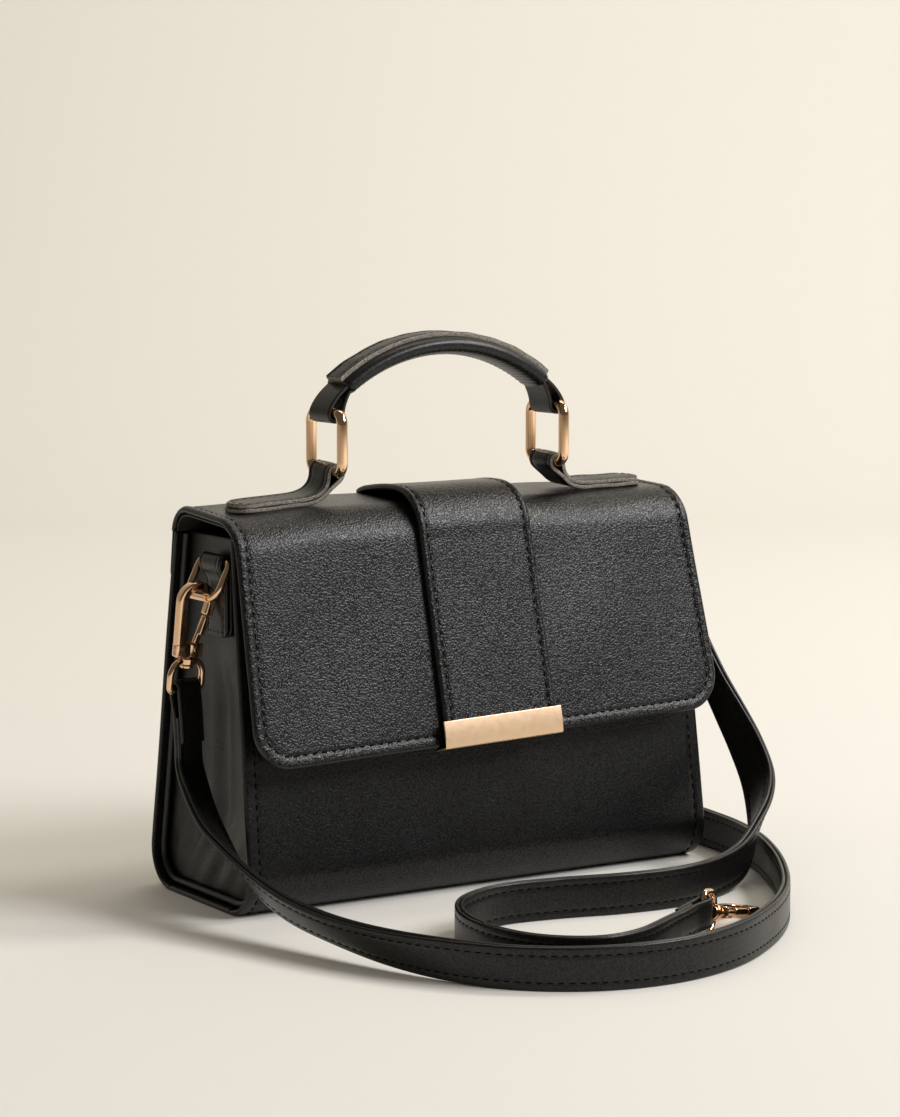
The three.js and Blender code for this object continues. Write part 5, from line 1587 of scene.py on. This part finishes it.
@dataclass
class SnapHook:
    """A swivel snap hook with its sprung gate, and the eye and folded strap end below it."""

    word: str
    eye: Frame
    turn: float
    strap_fold: Frame
    middle_u: float = 2.0
    bend_radius: float = 6.2
    bend_v: float = 21.0
    band: float = 3.6
    depth: float = 4.2
    nose_angle: float = -0.26
    nose: float = 4.2
    base_top: float = 4.5
    base_bottom: float = -1.0
    base_right: float = 5.4
    base_lap: float = 0.6
    base_bevel: float = 0.3
    bevel_middle: Pair = (0.3, 0.4)
    pivot: Pair = (2.8, 2.0)
    tip: Pair = (6.75, 14.95)
    gate_band: float = 2.6
    gate_depth: float = 1.9
    lever_depth: float = 3.4
    lever_share: float = 0.42
    lever_widen: float = 1.12
    gate_play: float = 0.25
    pin_head: tuple[Pair, ...] = ((0.0, 0.3), (1.25, 0.25), (1.3, -0.05), (0.8, -0.05))
    neck: float = 1.8
    neck_top: float = 0.4
    head: float = 2.8
    head_height: float = 1.2
    collar: float = 3.4
    collar_height: float = 2.6
    eye_width: float = 16.0
    eye_wire: float = 1.3
    eye_corners: Pair = (2.2, 6.0)
    end_half: float = 5.8
    end_layer: float = 1.6
    end_slack: float = 1.6
    end_seam: float = 1.8
    end_rows: Pair = (2.4, 10.0)
    end_row_half: float = 3.6
    tail_side: float = 1.0
    tail_rise: float = 2.75
    tail_short: float = 0.8

    EYE_TOP = -2.6
    EYE_BAR = -14.6
    STRAP_END = -35.9

    def build_frame(self, place: Frame) -> Piece:
        """The hook: a flat bar bent over its top, a cheeked base for the gate and a riveted neck."""
        arm_u = self.middle_u - self.bend_radius
        over = arc((self.middle_u, self.bend_v), self.bend_radius, np.pi, self.nose_angle, steps=40)
        down = coords(np.sin(self.nose_angle), -np.cos(self.nose_angle))
        line = chained([(arm_u, self.base_bottom)], over, [over[-1] + self.nose * down])
        half, deep = self.band / 2, self.depth / 2
        arm = bar(line, rounded_box(-half, -deep, half, deep, radius=0.9), place, end_round=0.7)
        slot = self.gate_depth / 2 + self.gate_play
        slot_left = self.pivot[0] - self.gate_band
        floor = self.pivot[1] - self.gate_band / np.sqrt(2.0) - CLEAR
        lap = slot_left - self.base_lap
        right, bottom, top = self.base_right, self.base_bottom, self.base_top
        blocks = [
            (arm_u - half, slot_left, bottom, top, -deep, deep),
            (lap, right, bottom, floor, -deep, deep),
            (lap, right, bottom, top, slot, deep),
            (lap, right, bottom, top, -deep, -slot),
        ]
        parts = [arm] + [self.block(place, *block) for block in blocks]
        collar_bottom = self.base_bottom - CLEAR - self.collar_height
        head_top = collar_bottom - CLEAR
        head_bottom = head_top - self.head_height
        profile = rounded([(0.0, head_bottom), (self.head, head_bottom), (self.head, head_top),
                           (self.neck, head_top), (self.neck, self.neck_top), (0.0, self.neck_top)],
                          radius=0.35, closed=False)
        parts.append(lathe(profile, place, sides=32))
        return add_piece(f"{self.word}_hook_frame", parts, [POLISHED_GOLD], f"{self.word}_hook")

    def block(self, place: Frame, left: float, right: float, low: float, high: float, near: float,
              far: float) -> Shell:
        """A block of the hook's base: a softened section carried along its depth, with bevelled ends.

        Args:
            place: the hook's frame.
            left, right: its sides.
            low, high: its heights.
            near, far: its depths.

        Returns:
            The closed block.
        """
        section = rounded_box(left, low, right, high, radius=0.7)
        soft = min(self.base_bevel, (far - near) / 3)
        deep, drawn = (share * soft for share in self.bevel_middle)
        y = np.array((near, near + deep, near + soft, far - soft, far - deep, far))
        inset = np.array((soft, drawn, 0.0, 0.0, drawn, soft))
        middle = coords((left + right) / 2, (low + high) / 2)
        shrink = 1.0 - inset[:, None] / coords((right - left) / 2, (high - low) / 2)
        flat = middle + (section - middle)[None] * shrink[:, None]
        points = place.at(coords(flat[..., 0], y[:, None], flat[..., 1]))
        return grid_shell(points, loop_columns=True, caps=True)

    def build_gate(self, place: Frame) -> list[Piece]:
        """The gate's lever from its pin to the nose, and the pin with its two heads."""
        u, v = self.pivot
        foot = np.array([(u, v - self.gate_band / 2), (u, v + self.gate_band), self.tip])
        half, deep = self.gate_band / 2, self.gate_depth / 2
        section = rounded_box(-half, -deep, half, deep, radius=0.8)
        blade = bar(softened(foot, step=0.2, reach=1.4), section, place, end_round=0.6)
        pivot, tip = np.array(self.pivot), np.array(self.tip)
        upper = np.stack([pivot + self.lever_share * (tip - pivot), tip])
        widened = section * (self.lever_widen, self.lever_depth / self.gate_depth)
        lever = bar(upper, widened, place, end_round=0.6)
        gate = add_piece(f"{self.word}_hook_gate", [blade, lever], [POLISHED_GOLD], f"{self.word}_gate")
        reach = self.depth / 2
        head = [(radius, reach + above) for radius, above in self.pin_head]
        mirrored = [(radius, -height) for radius, height in head]
        profile = rounded([*mirrored, *head[::-1]], radius=0.2, closed=False)
        across = Frame(place.at(coords(u, 0.0, v)), place.z, place.x, place.y)
        pin = add_piece(f"{self.word}_gate_pin", [lathe(profile, across, sides=28)], [POLISHED_GOLD],
                        f"{self.word}_hook")
        return [gate, pin]

    def build_eye(self) -> Piece:
        """The eye: a bent wire under a turned collar."""
        loop = rounded_loop(self.eye_width, self.EYE_BAR, self.EYE_TOP, *self.eye_corners)
        top = self.base_bottom - CLEAR
        low = top - self.collar_height
        hole = self.neck + CLEAR
        ring = rounded_box(hole, low, self.collar, top, radius=0.5)
        parts = [bent_wire(loop, self.eye_wire, self.eye), lathe(ring, self.eye, loop=True, sides=36)]
        return add_piece(f"{self.word}_eye_ring", parts, [POLISHED_GOLD], ON_BAG)

    def build_end(self) -> list[Piece]:
        """The strap's end: one strip folded round the eye's bar, whose tail is sewn flat on the strap."""
        fold = self.eye_wire + CLEAR + self.end_layer / 2
        leaf = (self.end_layer + CLEAR) / 2
        low, high = self.EYE_BAR - self.end_slack, self.EYE_BAR + self.end_slack
        landing = low - 3 * fold
        tail_end = self.STRAP_END + self.tail_short
        tail = np.array([(self.tail_rise, tail_end), (self.tail_rise, landing), (fold, low)])
        over = arc((0.0, high), fold, 0.0, np.pi, steps=16)
        under = np.array([(-fold, low), (-leaf, landing), (-leaf, self.STRAP_END)])
        line = chained(tail, over, under)
        if self.tail_side < 0:
            line = (line * (-1.0, 1.0))[::-1]
        strip = Strip(softened(line, step=0.3, reach=1.8), self.end_half, self.end_layer, self.strap_fold,
                      outward=-1.0, seam=self.end_seam, seam_depth=0.2, step=1.4)
        from_tail = 0.0 if self.tail_side > 0 else strip.length
        half = self.end_row_half
        rows = [np.array([(abs(from_tail - at), -half), (abs(from_tail - at), half)]) for at in self.end_rows]
        return add_sewn(f"{self.word}_strap_end", strip, rows, STRAP_END_STITCH, [SMOOTH_LEATHER, EDGE_PAINT],
                        ON_BAG)

    def build(self) -> list[Piece]:
        """Builds the hook and what hangs on it.

        Returns:
            The pieces that hang on the strap's end.
        """
        place = self.eye.turned(self.turn)
        return [self.build_frame(place), *self.build_gate(place), self.build_eye(), *self.build_end()]


@dataclass
class ShoulderStrap:
    """The clip-on strap: two layers rolled at both edges, laid on edge in two loops, a hook at each end."""

    rings: SideRings = field(default_factory=SideRings)
    width: float = 16.0
    thickness: float = 3.6
    face_insets: tuple[float, ...] = (6.2, 5.2, 4.3, 3.7, 3.1, 2.5, 1.9, 1.3)
    lip: float = 0.86
    lip_turn: float = -0.42 * np.pi
    groove: float = 1.25
    groove_rise: float = 0.3
    seam: float = 3.1
    seam_dip: float = 0.22
    seam_spread: float = 0.6
    thread_sunk: float = 0.16
    ground_gap: float = 0.1
    thread_skip: int = 4
    end_share: float = 0.735
    end_top: float = -25.0
    end_run: float = 30.0
    ring_play: float = 0.9
    ring_leg: float = 12.0
    lead: float = 8.0
    ring_in_hook: Pair = (3.7, 22.5)
    left_along: Triple = (0.03, -0.12, 0.99)
    left_bar: Triple = (0.97, 0.22, 0.0)
    left_turn: float = -0.22
    left_lean: float = 0.2
    free_along: Triple = (0.84, 0.54, 0.0)
    free_bar: Triple = (0.0, 0.0, -1.0)
    free_droop: float = 0.175
    free_turn: float = -np.pi / 2
    free_eye: Triple = (22.5, -155.5, 9.8)

    @property
    def lying(self) -> float:
        """Height of the strap's middle where it stands on its edge."""
        return self.width / 2 + self.ground_gap

    def left_frame(self) -> Frame:
        """Frame of the left eye and hook, hung so that the side ring's bow lies inside the hook."""
        x, z = self.rings.bow
        bow = coords(-x, self.rings.y, z)
        u, v = self.ring_in_hook
        inside = coords(u * np.cos(self.left_turn), u * np.sin(self.left_turn), v)
        return Frame.along(self.left_along, self.left_bar).moved(inside, bow)

    def left_fold(self) -> Frame:
        """Frame of the left strap end, which leans forward from the eye about its bar."""
        eye = self.left_frame()
        bar_at = SnapHook.EYE_BAR * Z_AXIS
        leant = np.cos(self.left_lean) * eye.z + np.sin(self.left_lean) * eye.y
        return Frame.along(leant, eye.x).moved(bar_at, eye.at(bar_at))

    def free_frames(self) -> tuple[Frame, Frame]:
        """Frames of the free strap end and of the eye that droops from it."""
        bar_at = SnapHook.EYE_BAR * Z_AXIS
        place = np.array(self.free_eye)
        fold = Frame.along(self.free_along, self.free_bar).moved(bar_at, place)
        drooped = unit(np.array(self.free_along)) + np.tan(self.free_droop) * np.array(self.free_bar)
        return fold, Frame.along(drooped, self.free_bar).moved(bar_at, place)

    def route(self) -> Array:
        """Rows of (x, y, z) and the direction of the edge that is uppermost on the ground, end to end."""
        low = self.lying
        hanging = [
            (-117.8, -16, 46, -0.8, -0.58, 0.12), (-118.9, -30, 35.5, -0.75, -0.55, 0.2),
            (-119.5, -46, 27.5, -0.62, -0.4, 0.6), (-119.3, -65, 20.8, -0.55, -0.25, 0.75),
            (-117.6, -84, 15.8, -0.55, -0.2, 0.8), (-113.6, -106, 12.4, -0.6, -0.15, 0.78),
            (-106.5, -132, 9.9, -0.48, -0.1, 0.87), (-95, -159, 8.7, -0.25, 0, 0.97),
            (-77, -183, low, -0.08, 0, 1),
        ]
        sweep = [(-52, -198.5), (-23, -203), (7, -196), (38, -177), (63, -154), (85, -125), (102, -97),
                 (114, -72), (122, -46), (126, -20)]
        rising = [
            (126, 2, 9.2, 0, -0.1, 1), (122, 16, 21, 0, -0.6, 0.8), (116.5, 14, 48, 0, -1, 0.2),
            (112, 4, 74, 0, -1, 0), (109.3, -5, 95, 0, -1, 0),
        ]
        falling = [
            (118.2, -11.5, 106, 0, -1, -0.1), (120.2, -19, 91, 0, -1, -0.2), (122.2, -28, 76, 0.05, -1, -0.1),
            (124.2, -38.5, 61.5, 0.15, -1, 0.05), (124.4, -50, 48.4, 0.3, -0.95, 0.25),
            (121.4, -62, 36.8, 0.4, -0.75, 0.55), (113.6, -73.6, 27.4, 0.3, -0.45, 0.85),
            (102.3, -84.2, 18.6, 0.12, -0.2, 1), (88.5, -93.6, 11.4, 0, -0.1, 1), (70, -101.8, 8.4, 0, 0, 1),
        ]
        coil = [(48, -107.3), (22, -105.5), (-6, -98.5), (-31, -96.5), (-53, -106.5), (-66.5, -127),
                (-69.5, -151), (-62, -173), (-45, -185.5), (-23.5, -183)]
        sweep_rows, coil_rows = ([(*place, low, 0, 0, 1) for place in places] for places in (sweep, coil))
        x, z = self.rings.bow
        radius = self.rings.wire + self.ring_play + self.thickness / 2
        over = chained([(x - radius, z - self.ring_leg)], arc((x, z), radius, np.pi, 0.0, steps=4),
                       [(x + radius, z - self.ring_leg / 3)])
        bow = coords(over[:, 0], self.rings.y, over[:, 1], 0.0, -1.0, 0.0)
        heights = (self.end_top, SnapHook.STRAP_END, SnapHook.STRAP_END - self.lead)
        seam = coords(0.0, 0.0, heights)
        start = self.left_fold().at(seam)
        end = self.free_frames()[0].at(seam)[::-1]
        first = coords(*start.T, *-np.array(self.left_bar))
        last = coords(*end.T, *-np.array(self.free_bar))
        return chained(first, hanging, sweep_rows, rising, bow, falling, coil_rows, last)

    def section(self) -> Array:
        """A quarter of the strap's section mirrored twice: a flat face that dips at its seam, then a lip."""
        half, face = self.width / 2, self.thickness / 2
        inset = np.array((half, *self.face_insets))
        dip = self.seam_dip * np.exp(-((inset - self.seam) / self.seam_spread) ** 2)
        flat = coords(half - inset, face - dip)
        lip = arc((half - self.lip, face - self.lip), self.lip, np.pi / 2, self.lip_turn, steps=8)
        groove = np.array([(half - self.groove, 0.0)])
        upper = chained(flat, lip)
        right = chained(upper, groove, (upper * (1.0, -1.0))[::-1])
        return chained(right[:-1], (right * (-1.0, 1.0))[::-1][:-1])

    def frames(self, steps: int) -> tuple[Array, Array, Array]:
        """Places along the strap, with the direction of its upper edge and the direction that its face looks.

        Args:
            steps: steps between two rows of the route.

        Returns:
            Points, edge directions and face directions.
        """
        rows = self.route()
        points = curve_through(rows[:, :3], steps)
        at = np.linspace(0, len(rows) - 1, len(points))
        edge = np.stack([np.interp(at, np.arange(len(rows)), column) for column in rows[:, 3:].T], axis=1)
        weights = np.hanning(2 * steps + 1) / steps
        padded = np.pad(edge, ((steps, steps), (0, 0)), "edge")
        edge = np.stack([np.convolve(column, weights, "valid") for column in padded.T], axis=1)
        ahead = unit(np.gradient(points, axis=0))
        edge = unit(edge - (edge * ahead).sum(axis=1, keepdims=True) * ahead)
        return points, edge, np.cross(ahead, edge)

    def build(self) -> None:
        left_hook = SnapHook("left", self.left_frame(), self.left_turn, self.left_fold(), tail_side=-1.0)
        clipped = left_hook.build()
        fold, eye = self.free_frames()
        hung = SnapHook("free", eye, self.free_turn, fold).build()
        points, edge, face = self.frames(steps=8)
        section = self.section()
        along = run_lengths(points)
        gap = np.minimum(along, along[-1] - along)
        tuck = self.end_top - SnapHook.STRAP_END
        narrow = self.end_share + (1.0 - self.end_share) * ease(gap, tuck, tuck + self.end_run)
        across = section[None, :, :1] * narrow[:, None, None]
        mesh = points[:, None] + across * edge[:, None] + section[None, :, 1:] * face[:, None]
        mesh[..., 2] = np.maximum(mesh[..., 2], 0.0)
        rise = np.broadcast_to(section[None, :, 1], mesh.shape[:2])
        groove = np.abs(rise) < self.thickness / 2 - self.groove_rise
        strap = add_piece("shoulder_strap", [grid_shell(mesh, loop_columns=True, caps=True, edge=groove)],
                          [SMOOTH_LEATHER, EDGE_PAINT], ON_BAG)
        x, z = self.rings.bow
        toward = coords(x, self.rings.y, z) - points
        at_ring = np.flatnonzero(np.linalg.norm(toward, axis=1) < self.ring_leg)
        ring_way = np.sign((toward * face)[at_ring].sum())
        skip = self.thread_skip
        whole, parted = [slice(skip, -skip)], [slice(skip, at_ring[0]), slice(at_ring[-1], -skip)]
        shells = []
        for way in (-1.0, 1.0):
            runs = parted if way == ring_way else whole
            for row in (-1.0, 1.0):
                inset = row * (self.width / 2 - self.seam) * narrow[:, None]
                line = points + inset * edge + way * (self.thickness / 2 - self.thread_sunk) * face
                shells += [STRAP_STITCH.along(line[run], way * face[run]) for run in runs]
        thread = add_piece("shoulder_strap_stitches", shells, [THREAD], ON_BAG)


def aimed(added: Piece, place: Triple, target: Triple) -> Piece:
    """A camera or lamp, put at a place and turned to look at a target."""
    added.location = place
    added.rotation_euler = (Vector(target) - Vector(place)).to_track_quat("-Z", "Y").to_euler()
    return added


@dataclass(frozen=True)
class Lamp:
    """A square soft lamp that looks at a target; places and size in metres."""

    name: str
    place: Triple
    watts: float
    size: float
    colour: str
    target: Triple = (0.0, -0.03, 0.09)

    def build(self) -> None:
        """Hangs the lamp."""
        data = bpy.data.lights.new(self.name, "AREA")
        data.energy = self.watts
        data.size = self.size
        data.color = linear(self.colour)[:3]
        aimed(placed(self.name, data), self.place, self.target)


@dataclass
class Studio:
    """The photograph's camera, a pale seamless backdrop and soft lamps; places in metres."""

    camera_at: Triple = (-0.6667, -1.0661, 0.2762)
    target: Triple = (0.008275, 0.0, 0.13002)
    lens: float = 66.22
    sensor: float = 24.0
    floor_colour: str = "#dcdad4"
    floor_front: float = -6.0
    wall_start: float = 1.4
    wall_bend: float = 0.8
    wall_top: float = 6.0
    half_span: float = 8.0
    backdrop_turn: float = -32.3
    room_colour: str = "#faf2e4"
    room_light: float = 0.46
    room_gloss: float = 0.1
    lamps: tuple[Lamp, ...] = (
        Lamp("key", (1.2, -1.57, 1.56), watts=45.0, size=0.98, colour="#fbfbff"),
        Lamp("side", (1.76, -0.54, 2.03), watts=24.0, size=0.56, colour="#fffaf2"),
        Lamp("backdrop", (0.8, 0.56, 2.4), watts=20.0, size=1.2, colour="#fff6e8", target=(1.42, 1.72, 1.1)),
    )

    def build_camera(self) -> None:
        """The camera, with the frame's height as the sensor's."""
        data = bpy.data.cameras.new("photo_camera")
        data.sensor_fit = "VERTICAL"
        data.sensor_height = self.sensor
        data.lens = self.lens
        data.clip_start = 0.01
        bpy.context.scene.camera = aimed(placed("photo_camera", data), self.camera_at, self.target)

    def build_backdrop(self) -> None:
        """A floor that bends up into a wall behind the bag: floor, quarter circle and wall, swept wide."""
        bend_at = (self.wall_start, self.wall_bend)
        turn = arc(bend_at, self.wall_bend, -np.pi / 2, 0.0)
        line = chained([(self.floor_front, 0.0)], turn, [(turn[-1, 0], self.wall_top)])
        x = np.array((-self.half_span, self.half_span))
        shell = grid_shell(coords(x, line[:, :1], line[:, 1:]))
        mesh = bpy.data.meshes.new("backdrop")
        mesh.from_pydata(shell.points.tolist(), [], shell.faces)
        mesh.shade_smooth()
        paper = bpy.data.materials.new("matt_cream_paper")
        paper.use_nodes = True
        shader = paper.node_tree.nodes["Principled BSDF"]
        shader.inputs["Base Color"].default_value = linear(self.floor_colour)
        shader.inputs["Roughness"].default_value = 0.9
        shader.inputs["Specular IOR Level"].default_value = 0.1
        mesh.materials.append(paper)
        backdrop = placed("backdrop", mesh)
        backdrop.rotation_euler = (0.0, 0.0, np.radians(self.backdrop_turn))

    def build(self) -> None:
        """Camera, backdrop, lamps and the room's even light."""
        self.build_camera()
        self.build_backdrop()
        for lamp in self.lamps:
            lamp.build()
        world = bpy.data.worlds.new("studio_room")
        world.use_nodes = True
        tree = world.node_tree
        background = tree.nodes["Background"]
        background.inputs["Color"].default_value = linear(self.room_colour)
        path = node(tree, "ShaderNodeLightPath")
        level = node(tree, "ShaderNodeMapRange", {"To Min": self.room_light, "To Max": self.room_gloss},
                     {"Value": path.outputs["Is Glossy Ray"]})
        tree.links.new(level.outputs["Result"], background.inputs["Strength"])
        bpy.context.scene.world = world
        bpy.context.scene.view_settings.view_transform = "Standard"


def write_sizes() -> None:
    """Updates the view layer; it writes nothing."""
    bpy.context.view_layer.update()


def main() -> None:
    """Builds the studio and the bag's sub-assemblies in order."""
    logging.basicConfig(level=logging.INFO, format="%(message)s")
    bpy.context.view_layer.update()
    parts = (Studio(), ShoulderStrap(), BagBody(), Flap(), MagneticSnap(), TopHandle(), SideRings())
    for part in parts:
        LOG.info("building %s", type(part).__name__)
        part.build()
    write_sizes()


if __name__ == "__main__":
    main()
